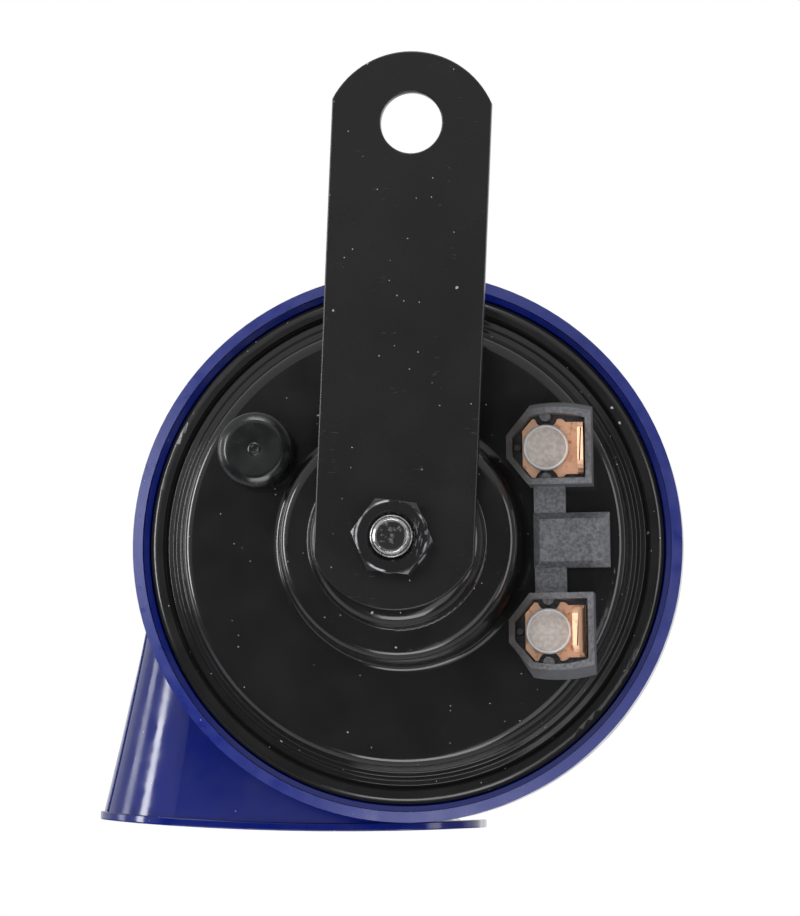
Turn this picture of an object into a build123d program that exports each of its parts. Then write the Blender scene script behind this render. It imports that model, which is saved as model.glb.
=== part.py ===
"""Car horn: an electromagnetic snail-trumpet horn hung from a steel mounting strap.

The row frame has its origin at the centre of the strap's mounting hole, halfway through the
strap.  +Z runs up the strap, +X is to the right seen from behind, and -Y points back, towards
the vehicle.  Lengths are in millimetres.

Every piece of the drive is placed by its radius from the drive axis and by its height h, which is
counted backwards (towards -Y) from the rear face of the trumpet's rim.
"""
import os
from math import cos, exp, log, radians, sin

from build123d import *

os.makedirs("parts", exist_ok=True)

# ------------------------------------------------------------------ driving dimensions
# Mounting strap, stud and nut
HOLE_TO_AXIS = 58.5
STRAP_WIDTH = 22.5
STRAP_THICKNESS = 2.0
STRAP_REACH = 10.1            # from a hole's centre to the strap's end
STRAP_END_RADIUS = 12.5
STRAP_HOLE_RADIUS = 4.35
STUD_RADIUS = 3.0
STUD_CHAMFER = 0.75
STUD_CLEARANCE = 0.15         # round the stud in the strap and in the hub
SHANK_CLEARANCE = 0.05        # round threads, shanks and spigots
STUD_PROUD = 1.0              # stud end above the nut
NUT_ACROSS_FLATS = 10.0
NUT_HEIGHT = 5.0
NUT_TURN = -4.5               # degrees, a corner from the horizontal
NUT_BORE_BEVEL = 0.5

# Pressed steel sheet of the drive
SHEET = 1.0
CRIMP_RADIUS = 37.1
CRIMP_LIP_RADIUS = 35.2
CRIMP_BEND = 1.1
GROOVE_WIDTH = 0.3            # between the crimp's lip and the first bead
BEAD_SLOPE = 0.5
BEAD_WIDTH = 0.7
BEAD_HEIGHTS = (-0.2, 0.8)    # of the two stepped beads inside the crimp
BEAD_FALL = 0.1               # across each bead's top
FIT_GAP = 0.1                 # between pieces that sit in one another
FLANGE_HEIGHT = -1.0
ANNULUS_HEIGHT = 6.0
ANNULUS_RADIUS = 31.6
BOSS_RADIUS = 16.8
BOSS_DRAFT = 0.6
BOSS_HEIGHT = 16.5
HUB_RADIUS = 12.5
HUB_TAPER = 0.6
HUB_HEIGHT = 19.0

# Clamped stack of the diaphragm
GASKET_THICKNESS = 0.4
DIAPHRAGM_THICKNESS = 0.3
CLAMP_INNER_RADIUS = 32.5
CORRUGATION_RADIUS = 28.5
CORRUGATION_WIDTH = 3.0
CORRUGATION_DEPTH = 0.6
CORRUGATION_BEND = 1.0
DISH_RADIUS = 31.2
DISH_DEPTH = 2.8
DISH_BEND = 1.2
THROAT_RADIUS = 5.0

# Magnet: core, coil, yoke plate and armature
CORE_RADIUS = 6.6
CORE_FLANGE_RADIUS = 9.4
CORE_FLANGE_THICKNESS = 2.0
CORE_END_HEIGHT = 8.6
BOBBIN_CLEARANCE = 0.3
BOBBIN_WALL = 1.0
YOKE_PLATE_RADIUS = 18.4
YOKE_PLATE_THICKNESS = 1.2
ARMATURE_RADIUS = 6.3
ARMATURE_GAP = 1.3            # armature to core at rest
ARMATURE_FLANGE_RADIUS = 8.6
ARMATURE_FLANGE_THICKNESS = 0.8
COLLAR_THICKNESS = 0.9
SPIGOT_RADIUS = 2.5
WASHER_RADIUS = 10.0
WASHER_THICKNESS = 0.8
ARMATURE_NUT_FLATS = 8.0
ARMATURE_NUT_HEIGHT = 1.8

# Contact breaker
BREAKER_X = -19.0
BREAKER_WIDTH = 6.0
BREAKER_FOOT = -18.0          # y of the fixed end
BREAKER_LENGTH = 6.6
CARRIER_THICKNESS = 0.8
MOVING_ARM_THICKNESS = 0.3
FIXED_ARM_THICKNESS = 0.5
ARM_WIDTH = 5.0
ARM_LIFT = 0.3                # moving arm above the armature's collar at rest
CONTACT_RADIUS = 1.7
CONTACT_THICKNESS = 0.6
CONTACT_Y = 1.5
FINGER_WIDTH = 4.4
BREAKER_RIVET_RADIUS = 0.9
BREAKER_RIVET_HEAD = 0.6      # the head's overhang and its thickness

# Adjuster under its sealing cap
DRIVE_CLOCK = 3.1             # degrees, drive turned against the strap
ADJUSTER_ANGLE = 146.6
ADJUSTER_CIRCLE = 24.5
ADJUSTER_RADIUS = 1.9
BUSH_RADIUS = 3.4
BUSH_HEIGHT = 3.0
SCREW_SLOT = 0.7
CAP_RADIUS = 5.4
CAP_TOP_RADIUS = 5.25
CAP_HEIGHT = 6.6
CAP_WALL = 1.0
CAP_ROUND = 0.8
CAP_DISH_RADIUS = 4.2
CAP_DISH_DEPTH = 0.35
CAP_NUB_RADIUS = 0.85

# Terminal block
RIVET_CIRCLE = 24.6
RIVET_ANGLE = 31.9            # degrees, each side of the block's middle
RIVET_HEAD_RADIUS = 3.25
RIVET_HEAD_THICKNESS = 2.2
RIVET_SHANK_RADIUS = 2.0
SOCKET_FLOOR = 2.5
SOCKET_HEIGHT = 7.5
SOCKET_WALL = 0.85
SOCKET_POINT = 5.5            # from the rivet's centre to the blunt point
SOCKET_SHOULDER = 2.5
SOCKET_RIGHT = 6.5
SOCKET_INNER = 5.35
SOCKET_OUTER = 5.2
SOCKET_FOOT = 1.2             # the outer wall's slope at its foot
SOCKET_ARCH = 0.35            # rise of the outer wall between its ends
POINT_WIDTH = 3.2
STRIP_LEFT = 18.9
STRIP_WIDTH = 4.5
STRIP_THICKNESS = 1.9
TAB_RIGHT = 29.6
TAB_WIDTH = 7.8
TAB_THICKNESS = 2.8
TAB_BEVEL = 0.9
POST_RADIUS = 0.46
POST_GAP = 0.2                # between the plate's edge and the post
RIB_RADIUS = 0.8

# Spade terminals
PLATE_THICKNESS = 0.8
PLATE_LEFT = 3.4
PLATE_WIDTH = 7.4
LOBE_RADIUS = 0.95
LOBE_SPACING = 3.8
BLADE_WIDTH = 6.3
BLADE_SHOULDER = 7.2
BLADE_SHOULDER_HEIGHT = 2.2
BLADE_SHOULDER_BEVEL = 0.4
BLADE_TIP_BEVEL = 0.9
BLADE_HEIGHT = 8.0
BLADE_THICKNESS = 0.8
BLADE_OFFSET = 4.4           # from the rivet's centre to the blade's inner face
BLADE_LEANS = (2.0, -5.0)     # degrees, outwards is positive

# Trumpet: cup, spiral channel and bell
RIM_RADIUS = 39.7
RIM_BAND = 1.5
RIM_STEP = 0.8
SEAL_THICKNESS = 0.8
CUP_FLOOR_THICKNESS = 2.0
CUP_EDGE = 2.0                # bevel round the cup's front corner
RIM_FALL = 0.5                # slope of the rim's rear face, across its band
TRUMPET_CLOCK = 1.0           # degrees, trumpet turned against the strap
TRUMPET_WALL = 1.6
CHANNEL_REAR = -10.0          # h of the channel's flat rear wall
SPIRAL_RADIUS = 36.8          # outside of the channel where the bell begins
SPIRAL_RATIO = 0.35           # channel radius one turn earlier
SPIRAL_START = -190           # degrees
CHANNEL_DEPTH = 26.0          # where the bell begins
CHANNEL_START_DEPTH = 8.5
MOUTH_DROP = 41.3             # drive axis to the lowest point of the mouth's bowed edge
MOUTH_BOW_RADIUS = 380.0
MOUTH_LEFT = -45.8
MOUTH_RIGHT = 10.4
MOUTH_DEPTH = 33.0
MOUTH_CORNER = 12.0
REAR_FLARE = 1.0              # how far the bell's rear wall swings back at the mouth
LIP_REACH = 0.4
LIP_HEIGHT = 1.2
PARTING = -14.5               # h of the weld between the two mouldings
CORNER_SHARE = 0.26           # a channel corner's radius as a share of its shorter side
INNER_SHARE = 0.8             # share of the wall that the channel's inner side keeps to itself
FLARE = 3.2                   # how sharply the bell's right side opens near the mouth
DEPTH_FLARE = 0.4             # share of the bell's extra depth that follows the flare

# ------------------------------------------------------------------ worked-out heights and planes
BRACKET_MID = HUB_HEIGHT + STRAP_THICKNESS / 2


def clocked(angle):
    """Return the plane across the drive axis, turned by an angle as seen from behind."""
    turned_x = (cos(radians(angle)), 0, sin(radians(angle)))
    return Plane(origin=(0, BRACKET_MID, -HOLE_TO_AXIS), x_dir=turned_x, z_dir=(0, -1, 0))


HORN = clocked(0)
DRIVE = clocked(DRIVE_CLOCK)
TRUMPET = clocked(TRUMPET_CLOCK)
SECTION = Plane(origin=HORN.origin, x_dir=(1, 0, 0), z_dir=(0, 0, -1))
DRIVE_AXIS = Axis(HORN.origin, HORN.z_dir)

ANNULUS_INSIDE = ANNULUS_HEIGHT - SHEET
FLANGE_UNDER = FLANGE_HEIGHT - SHEET
DIAPHRAGM_REAR = FLANGE_UNDER - GASKET_THICKNESS
DIAPHRAGM_FRONT = DIAPHRAGM_REAR - DIAPHRAGM_THICKNESS
PLATE_REAR = DIAPHRAGM_FRONT - GASKET_THICKNESS
PLATE_FRONT = PLATE_REAR - SHEET
FLANGE_RADIUS = CRIMP_RADIUS - SHEET - FIT_GAP
RECESS_RADIUS = CRIMP_RADIUS + 2 * FIT_GAP
LEDGE = PLATE_FRONT - SEAL_THICKNESS
CUP_FLOOR = PLATE_FRONT - DISH_DEPTH - SEAL_THICKNESS
CUP_UNDER = CUP_FLOOR - CUP_FLOOR_THICKNESS
YOKE_UNDER = ANNULUS_INSIDE - YOKE_PLATE_THICKNESS
BOBBIN_BORE = CORE_RADIUS + BOBBIN_CLEARANCE
BOBBIN_RADIUS = BOSS_RADIUS - SHEET - BOBBIN_CLEARANCE
BOBBIN_TOP = BOSS_HEIGHT - SHEET - BOBBIN_CLEARANCE
BOBBIN_FOOT = ANNULUS_INSIDE + FIT_GAP
ARMATURE_FOOT = DIAPHRAGM_REAR + WASHER_THICKNESS
ARMATURE_SHOULDER = ARMATURE_FOOT + ARMATURE_FLANGE_THICKNESS
COLLAR_TOP = ARMATURE_SHOULDER + COLLAR_THICKNESS
MOVING_ARM_FRONT = COLLAR_TOP + ARM_LIFT
MOVING_ARM_REAR = MOVING_ARM_FRONT + MOVING_ARM_THICKNESS
FIXED_ARM_REAR = MOVING_ARM_FRONT - 2 * CONTACT_THICKNESS
FIXED_ARM_FRONT = FIXED_ARM_REAR - FIXED_ARM_THICKNESS
RIVET_X = RIVET_CIRCLE * cos(radians(RIVET_ANGLE))
RIVET_Y = RIVET_CIRCLE * sin(radians(RIVET_ANGLE))
ADJUSTER_X = ADJUSTER_CIRCLE * cos(radians(ADJUSTER_ANGLE))
ADJUSTER_Y = ADJUSTER_CIRCLE * sin(radians(ADJUSTER_ANGLE))
FLOOR_TOP = ANNULUS_HEIGHT + SOCKET_FLOOR
PLATE_TOP = FLOOR_TOP + PLATE_THICKNESS


def turn(*corners, mode=Mode.ADD):
    """Turn a closed outline of (radius, height) corners about the drive axis."""
    with BuildSketch(SECTION) as outline:
        with BuildLine():
            Polyline(*corners, close=True)
        make_face()
    revolve(outline.sketch, axis=DRIVE_AXIS, mode=mode)


def press(corners, bends, thickness, side):
    """Turn a folded sheet: a line of corners with a bend at each, thickened to one side."""
    with BuildSketch(SECTION) as outline:
        with BuildLine():
            FilletPolyline(*corners, radius=bends)
            offset(amount=thickness, side=side)
        make_face()
    revolve(outline.sketch, axis=DRIVE_AXIS)


def ring(inner_radius, outer_radius, low, high, mode=Mode.ADD):
    """Turn a plain ring about the drive axis."""
    turn((inner_radius, low), (outer_radius, low), (outer_radius, high), (inner_radius, high), mode=mode)


def disc(x, y, radius, low, high, mode=Mode.ADD):
    """Extrude a disc at a place in the drive's own plane."""
    with BuildSketch(DRIVE.offset(low)) as outline:
        with Locations((x, y)):
            Circle(radius)
    extrude(outline.sketch, amount=high - low, mode=mode)


def block(left, right, foot, top, low, high, mode=Mode.ADD):
    """Extrude a rectangle between four lines of the drive's own plane."""
    with BuildSketch(DRIVE.offset(low)) as outline:
        with Locations(((left + right) / 2, (foot + top) / 2)):
            Rectangle(right - left, top - foot)
    extrude(outline.sketch, amount=high - low, mode=mode)


def finish(piece, name):
    """Label a finished piece and write it."""
    piece.part.label = name
    export_step(piece.part, f"parts/{name}.step")


# ------------------------------------------------------------------ pressed housing of the drive
BEAD_RADIUS = CRIMP_LIP_RADIUS - GROOVE_WIDTH
BEAD_LINE = []
for bead_height in BEAD_HEIGHTS:
    BEAD_LINE.append((BEAD_RADIUS - BEAD_SLOPE, bead_height))
    BEAD_RADIUS -= BEAD_SLOPE + BEAD_WIDTH
    BEAD_LINE.append((BEAD_RADIUS, bead_height + BEAD_FALL))

HOUSING_LINE = [
    (FLANGE_RADIUS, FLANGE_HEIGHT),
    (CRIMP_LIP_RADIUS - GROOVE_WIDTH, FLANGE_HEIGHT),
    *BEAD_LINE,
    (ANNULUS_RADIUS, ANNULUS_HEIGHT),
    (BOSS_RADIUS + BOSS_DRAFT, ANNULUS_HEIGHT),
    (BOSS_RADIUS, BOSS_HEIGHT),
    (HUB_RADIUS, BOSS_HEIGHT),
    (HUB_RADIUS - HUB_TAPER, HUB_HEIGHT),
    (STUD_RADIUS + STUD_CLEARANCE, HUB_HEIGHT),
]
HOUSING_BENDS = [0.2, 0.15, 0.15, 0.2, 0.2, 1.6, 1.2, 1.5, 0.4, 2.2]

with BuildPart() as drive_housing:
    press(HOUSING_LINE, HOUSING_BENDS, SHEET, Side.LEFT)
    for rivet_y in (RIVET_Y, -RIVET_Y):
        disc(RIVET_X, rivet_y, RIVET_SHANK_RADIUS + SOCKET_WALL, 0, BOSS_HEIGHT, mode=Mode.SUBTRACT)
    disc(ADJUSTER_X, ADJUSTER_Y, BUSH_RADIUS, 0, BOSS_HEIGHT, mode=Mode.SUBTRACT)
finish(drive_housing, "drive_housing")

# Front plate: its turned-up wall is rolled over the housing's flange, which makes the crimp.
CRIMP_TOP = FLANGE_HEIGHT + SHEET
with BuildPart() as front_plate:
    press(
        [
            (THROAT_RADIUS, PLATE_FRONT - DISH_DEPTH),
            (DISH_RADIUS - SHEET, PLATE_FRONT - DISH_DEPTH),
            (DISH_RADIUS, PLATE_FRONT),
            (CRIMP_RADIUS, PLATE_FRONT),
            (CRIMP_RADIUS, CRIMP_TOP),
            (CRIMP_LIP_RADIUS, CRIMP_TOP),
        ],
        [DISH_BEND, DISH_BEND, CRIMP_BEND, CRIMP_BEND],
        SHEET,
        Side.LEFT,
    )
finish(front_plate, "front_plate")

# ------------------------------------------------------------------ diaphragm and its gaskets
with BuildPart() as diaphragm:
    press(
        [
            (FLANGE_RADIUS, DIAPHRAGM_REAR),
            (CORRUGATION_RADIUS + CORRUGATION_WIDTH / 2, DIAPHRAGM_REAR),
            (CORRUGATION_RADIUS, DIAPHRAGM_REAR - CORRUGATION_DEPTH),
            (CORRUGATION_RADIUS - CORRUGATION_WIDTH / 2, DIAPHRAGM_REAR),
            (SPIGOT_RADIUS + FIT_GAP, DIAPHRAGM_REAR),
        ],
        CORRUGATION_BEND,
        DIAPHRAGM_THICKNESS,
        Side.LEFT,
    )
finish(diaphragm, "diaphragm")

with BuildPart() as rear_gasket:
    ring(CLAMP_INNER_RADIUS + SHEET, FLANGE_RADIUS, DIAPHRAGM_REAR, FLANGE_UNDER)
finish(rear_gasket, "rear_gasket")

with BuildPart() as front_gasket:
    ring(CLAMP_INNER_RADIUS, FLANGE_RADIUS, PLATE_REAR, DIAPHRAGM_FRONT)
finish(front_gasket, "front_gasket")

with BuildPart() as trumpet_seal:
    ring(CLAMP_INNER_RADIUS, CRIMP_RADIUS - FIT_GAP, LEDGE, PLATE_FRONT)
finish(trumpet_seal, "trumpet_seal")

# ------------------------------------------------------------------ magnet
NUT_TOP = HUB_HEIGHT + STRAP_THICKNESS + NUT_HEIGHT
STUD_END = NUT_TOP + STUD_PROUD
CORE_SEAT = HUB_HEIGHT - SHEET

with BuildPart() as core_stud:
    turn(
        (0, CORE_END_HEIGHT),
        (CORE_RADIUS, CORE_END_HEIGHT),
        (CORE_RADIUS, CORE_SEAT - CORE_FLANGE_THICKNESS),
        (CORE_FLANGE_RADIUS, CORE_SEAT - CORE_FLANGE_THICKNESS),
        (CORE_FLANGE_RADIUS, CORE_SEAT),
        (STUD_RADIUS, CORE_SEAT),
        (STUD_RADIUS, STUD_END - STUD_CHAMFER),
        (STUD_RADIUS - STUD_CHAMFER, STUD_END),
        (0, STUD_END),
    )
finish(core_stud, "core_stud")

with BuildPart() as coil_bobbin:
    ring(BOBBIN_BORE, BOBBIN_RADIUS, BOBBIN_FOOT, BOBBIN_TOP)
    ring(
        BOBBIN_BORE + BOBBIN_WALL,
        BOBBIN_RADIUS + SHEET,
        BOBBIN_FOOT + BOBBIN_WALL,
        BOBBIN_TOP - BOBBIN_WALL,
        mode=Mode.SUBTRACT,
    )
finish(coil_bobbin, "coil_bobbin")

with BuildPart() as coil_winding:
    ring(
        BOBBIN_BORE + BOBBIN_WALL + FIT_GAP,
        BOBBIN_RADIUS - BOBBIN_WALL / 2,
        BOBBIN_FOOT + BOBBIN_WALL + FIT_GAP,
        BOBBIN_TOP - BOBBIN_WALL - FIT_GAP,
    )
finish(coil_winding, "coil_winding")

with BuildPart() as yoke_plate:
    ring(BOBBIN_BORE, YOKE_PLATE_RADIUS, YOKE_UNDER, ANNULUS_INSIDE)
finish(yoke_plate, "yoke_plate")

with BuildPart() as armature:
    turn(
        (0, CORE_END_HEIGHT - ARMATURE_GAP),
        (ARMATURE_RADIUS, CORE_END_HEIGHT - ARMATURE_GAP),
        (ARMATURE_RADIUS, ARMATURE_SHOULDER),
        (ARMATURE_FLANGE_RADIUS, ARMATURE_SHOULDER),
        (ARMATURE_FLANGE_RADIUS, ARMATURE_FOOT),
        (SPIGOT_RADIUS, ARMATURE_FOOT),
        (SPIGOT_RADIUS, DIAPHRAGM_FRONT - WASHER_THICKNESS - ARMATURE_NUT_HEIGHT),
        (0, DIAPHRAGM_FRONT - WASHER_THICKNESS - ARMATURE_NUT_HEIGHT),
    )
finish(armature, "armature")

with BuildPart() as contact_collar:
    ring(ARMATURE_RADIUS + SHANK_CLEARANCE, ARMATURE_FLANGE_RADIUS, ARMATURE_SHOULDER, COLLAR_TOP)
finish(contact_collar, "contact_collar")

with BuildPart() as diaphragm_washer_rear:
    ring(SPIGOT_RADIUS + SHANK_CLEARANCE, WASHER_RADIUS, DIAPHRAGM_REAR, ARMATURE_FOOT)
finish(diaphragm_washer_rear, "diaphragm_washer_rear")

with BuildPart() as diaphragm_washer_front:
    ring(
        SPIGOT_RADIUS + SHANK_CLEARANCE,
        WASHER_RADIUS,
        DIAPHRAGM_FRONT - WASHER_THICKNESS,
        DIAPHRAGM_FRONT,
    )
finish(diaphragm_washer_front, "diaphragm_washer_front")

with BuildPart() as armature_nut:
    with BuildSketch(DRIVE.offset(DIAPHRAGM_FRONT - WASHER_THICKNESS)):
        RegularPolygon(ARMATURE_NUT_FLATS / 2, 6, major_radius=False)
        Circle(SPIGOT_RADIUS + SHANK_CLEARANCE, mode=Mode.SUBTRACT)
    extrude(amount=-ARMATURE_NUT_HEIGHT)
finish(armature_nut, "armature_nut")

# ------------------------------------------------------------------ contact breaker
BREAKER_LEFT = BREAKER_X - BREAKER_WIDTH / 2
BREAKER_RIGHT = BREAKER_X + BREAKER_WIDTH / 2
BREAKER_HEAD = BREAKER_FOOT + BREAKER_LENGTH
BASE_REAR = ANNULUS_INSIDE - CARRIER_THICKNESS
ARM_LEFT = BREAKER_X - ARM_WIDTH / 2
ARM_RIGHT = BREAKER_X + ARM_WIDTH / 2
BREAKER_RIVET_YS = (BREAKER_FOOT + BREAKER_LENGTH / 4, BREAKER_HEAD - BREAKER_LENGTH / 4)


def rivet_holes(low, high):
    """Clear the breaker's two rivets from a piece of its stack."""
    for rivet_place in BREAKER_RIVET_YS:
        disc(BREAKER_X, rivet_place, BREAKER_RIVET_RADIUS + SHANK_CLEARANCE, low, high, mode=Mode.SUBTRACT)


with BuildPart() as breaker_carrier:
    block(BREAKER_LEFT, BREAKER_RIGHT, BREAKER_FOOT, BREAKER_HEAD, BASE_REAR, ANNULUS_INSIDE)
    rivet_holes(BASE_REAR, ANNULUS_INSIDE)
finish(breaker_carrier, "breaker_carrier")

with BuildPart() as breaker_base:
    block(BREAKER_LEFT, BREAKER_RIGHT, BREAKER_FOOT, BREAKER_HEAD, MOVING_ARM_REAR, BASE_REAR)
    rivet_holes(MOVING_ARM_REAR, BASE_REAR)
finish(breaker_base, "breaker_base")

with BuildPart() as moving_contact_spring:
    block(ARM_LEFT, ARM_RIGHT, BREAKER_FOOT, CONTACT_Y + ARM_WIDTH / 2, MOVING_ARM_FRONT, MOVING_ARM_REAR)
    block(
        ARM_RIGHT,
        -ARMATURE_RADIUS - 1,
        -FINGER_WIDTH / 2,
        FINGER_WIDTH / 2,
        MOVING_ARM_FRONT,
        MOVING_ARM_REAR,
    )
    rivet_holes(MOVING_ARM_FRONT, MOVING_ARM_REAR)
finish(moving_contact_spring, "moving_contact_spring")

with BuildPart() as breaker_spacer:
    block(BREAKER_LEFT, BREAKER_RIGHT, BREAKER_FOOT, BREAKER_HEAD, FIXED_ARM_REAR, MOVING_ARM_FRONT)
    rivet_holes(FIXED_ARM_REAR, MOVING_ARM_FRONT)
finish(breaker_spacer, "breaker_spacer")

with BuildPart() as fixed_contact_arm:
    block(ARM_LEFT, ARM_RIGHT, BREAKER_FOOT, ADJUSTER_Y + ADJUSTER_RADIUS, FIXED_ARM_FRONT, FIXED_ARM_REAR)
    rivet_holes(FIXED_ARM_FRONT, FIXED_ARM_REAR)
finish(fixed_contact_arm, "fixed_contact_arm")

CONTACT_MIDDLE = (MOVING_ARM_FRONT + FIXED_ARM_REAR) / 2
with BuildPart() as moving_contact_point:
    disc(BREAKER_X, CONTACT_Y, CONTACT_RADIUS, CONTACT_MIDDLE, MOVING_ARM_FRONT)
finish(moving_contact_point, "moving_contact_point")

with BuildPart() as fixed_contact_point:
    disc(BREAKER_X, CONTACT_Y, CONTACT_RADIUS, FIXED_ARM_REAR, CONTACT_MIDDLE)
finish(fixed_contact_point, "fixed_contact_point")

HEAD_RADIUS = BREAKER_RIVET_RADIUS + BREAKER_RIVET_HEAD
with BuildPart() as breaker_rivets:
    for rivet_place in BREAKER_RIVET_YS:
        disc(BREAKER_X, rivet_place, BREAKER_RIVET_RADIUS, FIXED_ARM_FRONT, ANNULUS_INSIDE)
        disc(BREAKER_X, rivet_place, HEAD_RADIUS, FIXED_ARM_FRONT - BREAKER_RIVET_HEAD, FIXED_ARM_FRONT)
finish(breaker_rivets, "breaker_rivets")

# ------------------------------------------------------------------ adjuster under its sealing cap
CAP_TOP = ANNULUS_HEIGHT + CAP_HEIGHT
BUSH_TOP = ANNULUS_HEIGHT + BUSH_HEIGHT
with BuildPart() as adjuster_bush:
    disc(ADJUSTER_X, ADJUSTER_Y, BUSH_RADIUS, ANNULUS_INSIDE - SHEET, ANNULUS_HEIGHT)
    disc(ADJUSTER_X, ADJUSTER_Y, CAP_RADIUS - CAP_WALL - FIT_GAP, ANNULUS_HEIGHT, BUSH_TOP)
    disc(
        ADJUSTER_X,
        ADJUSTER_Y,
        ADJUSTER_RADIUS + SHANK_CLEARANCE,
        ANNULUS_INSIDE - SHEET,
        BUSH_TOP,
        mode=Mode.SUBTRACT,
    )
finish(adjuster_bush, "adjuster_bush")

SCREW_TOP = BUSH_TOP + SHEET
with BuildPart() as adjusting_screw:
    disc(ADJUSTER_X, ADJUSTER_Y, ADJUSTER_RADIUS, FIXED_ARM_REAR, SCREW_TOP)
    block(
        ADJUSTER_X - ADJUSTER_RADIUS,
        ADJUSTER_X + ADJUSTER_RADIUS,
        ADJUSTER_Y - SCREW_SLOT / 2,
        ADJUSTER_Y + SCREW_SLOT / 2,
        SCREW_TOP - SHEET,
        SCREW_TOP,
        mode=Mode.SUBTRACT,
    )
finish(adjusting_screw, "adjusting_screw")

with BuildPart() as adjuster_cap:
    with BuildSketch(DRIVE.offset(ANNULUS_HEIGHT)):
        with Locations((ADJUSTER_X, ADJUSTER_Y)):
            Circle(CAP_RADIUS)
    with BuildSketch(DRIVE.offset(CAP_TOP)):
        with Locations((ADJUSTER_X, ADJUSTER_Y)):
            Circle(CAP_TOP_RADIUS)
    loft()
    top_edge = edges().filter_by(GeomType.CIRCLE).sort_by(Axis.Y)[0]
    fillet(top_edge, CAP_ROUND)
    disc(ADJUSTER_X, ADJUSTER_Y, CAP_DISH_RADIUS, CAP_TOP - CAP_DISH_DEPTH, CAP_TOP, mode=Mode.SUBTRACT)
    disc(ADJUSTER_X, ADJUSTER_Y, CAP_NUB_RADIUS, CAP_TOP - CAP_DISH_DEPTH, CAP_TOP)
    disc(
        ADJUSTER_X,
        ADJUSTER_Y,
        CAP_RADIUS - CAP_WALL,
        ANNULUS_HEIGHT,
        CAP_TOP - CAP_DISH_DEPTH - CAP_WALL,
        mode=Mode.SUBTRACT,
    )
finish(adjuster_cap, "adjuster_cap")

# ------------------------------------------------------------------ terminal block
SOCKET_TOP = ANNULUS_HEIGHT + SOCKET_HEIGHT
BLOCK_MIDDLE = Plane(origin=DRIVE.origin, x_dir=DRIVE.x_dir, z_dir=DRIVE.y_dir)


def socket_outline(height, outer, inset=0.0):
    """Draw the upper socket's five-sided outline, whose outer side is slightly arched."""
    left = RIVET_X - SOCKET_POINT + inset
    shoulder = RIVET_X - SOCKET_SHOULDER + inset / 2
    right = RIVET_X + SOCKET_RIGHT - inset
    foot = RIVET_Y - SOCKET_INNER + inset
    top = RIVET_Y + outer - inset
    half_point = POINT_WIDTH / 2 - inset / 3
    with BuildSketch(DRIVE.offset(height)) as outline:
        with BuildLine():
            Polyline(
                (shoulder, top),
                (left, RIVET_Y + half_point),
                (left, RIVET_Y - half_point),
                (shoulder, foot),
                (right, foot),
                (right, top - SOCKET_ARCH),
            )
            arch_top = ((right + shoulder) / 2, top + SOCKET_ARCH)
            ThreePointArc((right, top - SOCKET_ARCH), arch_top, (shoulder, top))
        make_face()
    return outline.sketch


with BuildPart() as block_tab:
    block(
        STRIP_LEFT - FIT_GAP,
        TAB_RIGHT,
        -TAB_WIDTH / 2,
        TAB_WIDTH / 2,
        ANNULUS_HEIGHT,
        ANNULUS_HEIGHT + TAB_THICKNESS,
    )
    chamfer(faces().sort_by(Axis.Y)[0].edges(), TAB_BEVEL)

with BuildPart() as terminal_block:
    foot_outline = socket_outline(ANNULUS_HEIGHT, SOCKET_OUTER + SOCKET_FOOT)
    loft([foot_outline, socket_outline(SOCKET_TOP, SOCKET_OUTER)], ruled=True)
    cavity = socket_outline(FLOOR_TOP, SOCKET_OUTER, SOCKET_WALL)
    extrude(cavity, amount=SOCKET_HEIGHT, mode=Mode.SUBTRACT)
    for wall_y in (RIVET_Y - SOCKET_INNER + SOCKET_WALL, RIVET_Y + SOCKET_OUTER + FIT_GAP - SOCKET_WALL):
        disc(RIVET_X, wall_y, RIB_RADIUS, FLOOR_TOP, SOCKET_TOP - SHEET)
    post_x = RIVET_X - PLATE_LEFT - POST_GAP - POST_RADIUS
    disc(post_x, RIVET_Y, POST_RADIUS, FLOOR_TOP, SOCKET_TOP - 2 * SHEET)
    block(
        STRIP_LEFT,
        STRIP_LEFT + STRIP_WIDTH,
        0,
        RIVET_Y - SOCKET_INNER + SOCKET_WALL / 2,
        ANNULUS_HEIGHT,
        ANNULUS_HEIGHT + STRIP_THICKNESS,
    )
    disc(RIVET_X, RIVET_Y, RIVET_SHANK_RADIUS + SOCKET_WALL - FIT_GAP, ANNULUS_INSIDE, ANNULUS_HEIGHT)
    disc(
        RIVET_X,
        RIVET_Y,
        RIVET_SHANK_RADIUS + SHANK_CLEARANCE,
        ANNULUS_INSIDE,
        FLOOR_TOP,
        mode=Mode.SUBTRACT,
    )
    mirror(about=BLOCK_MIDDLE)
    add(block_tab.part)
finish(terminal_block, "terminal_block")

BLADE_END = BLADE_HEIGHT + PLATE_THICKNESS
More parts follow.
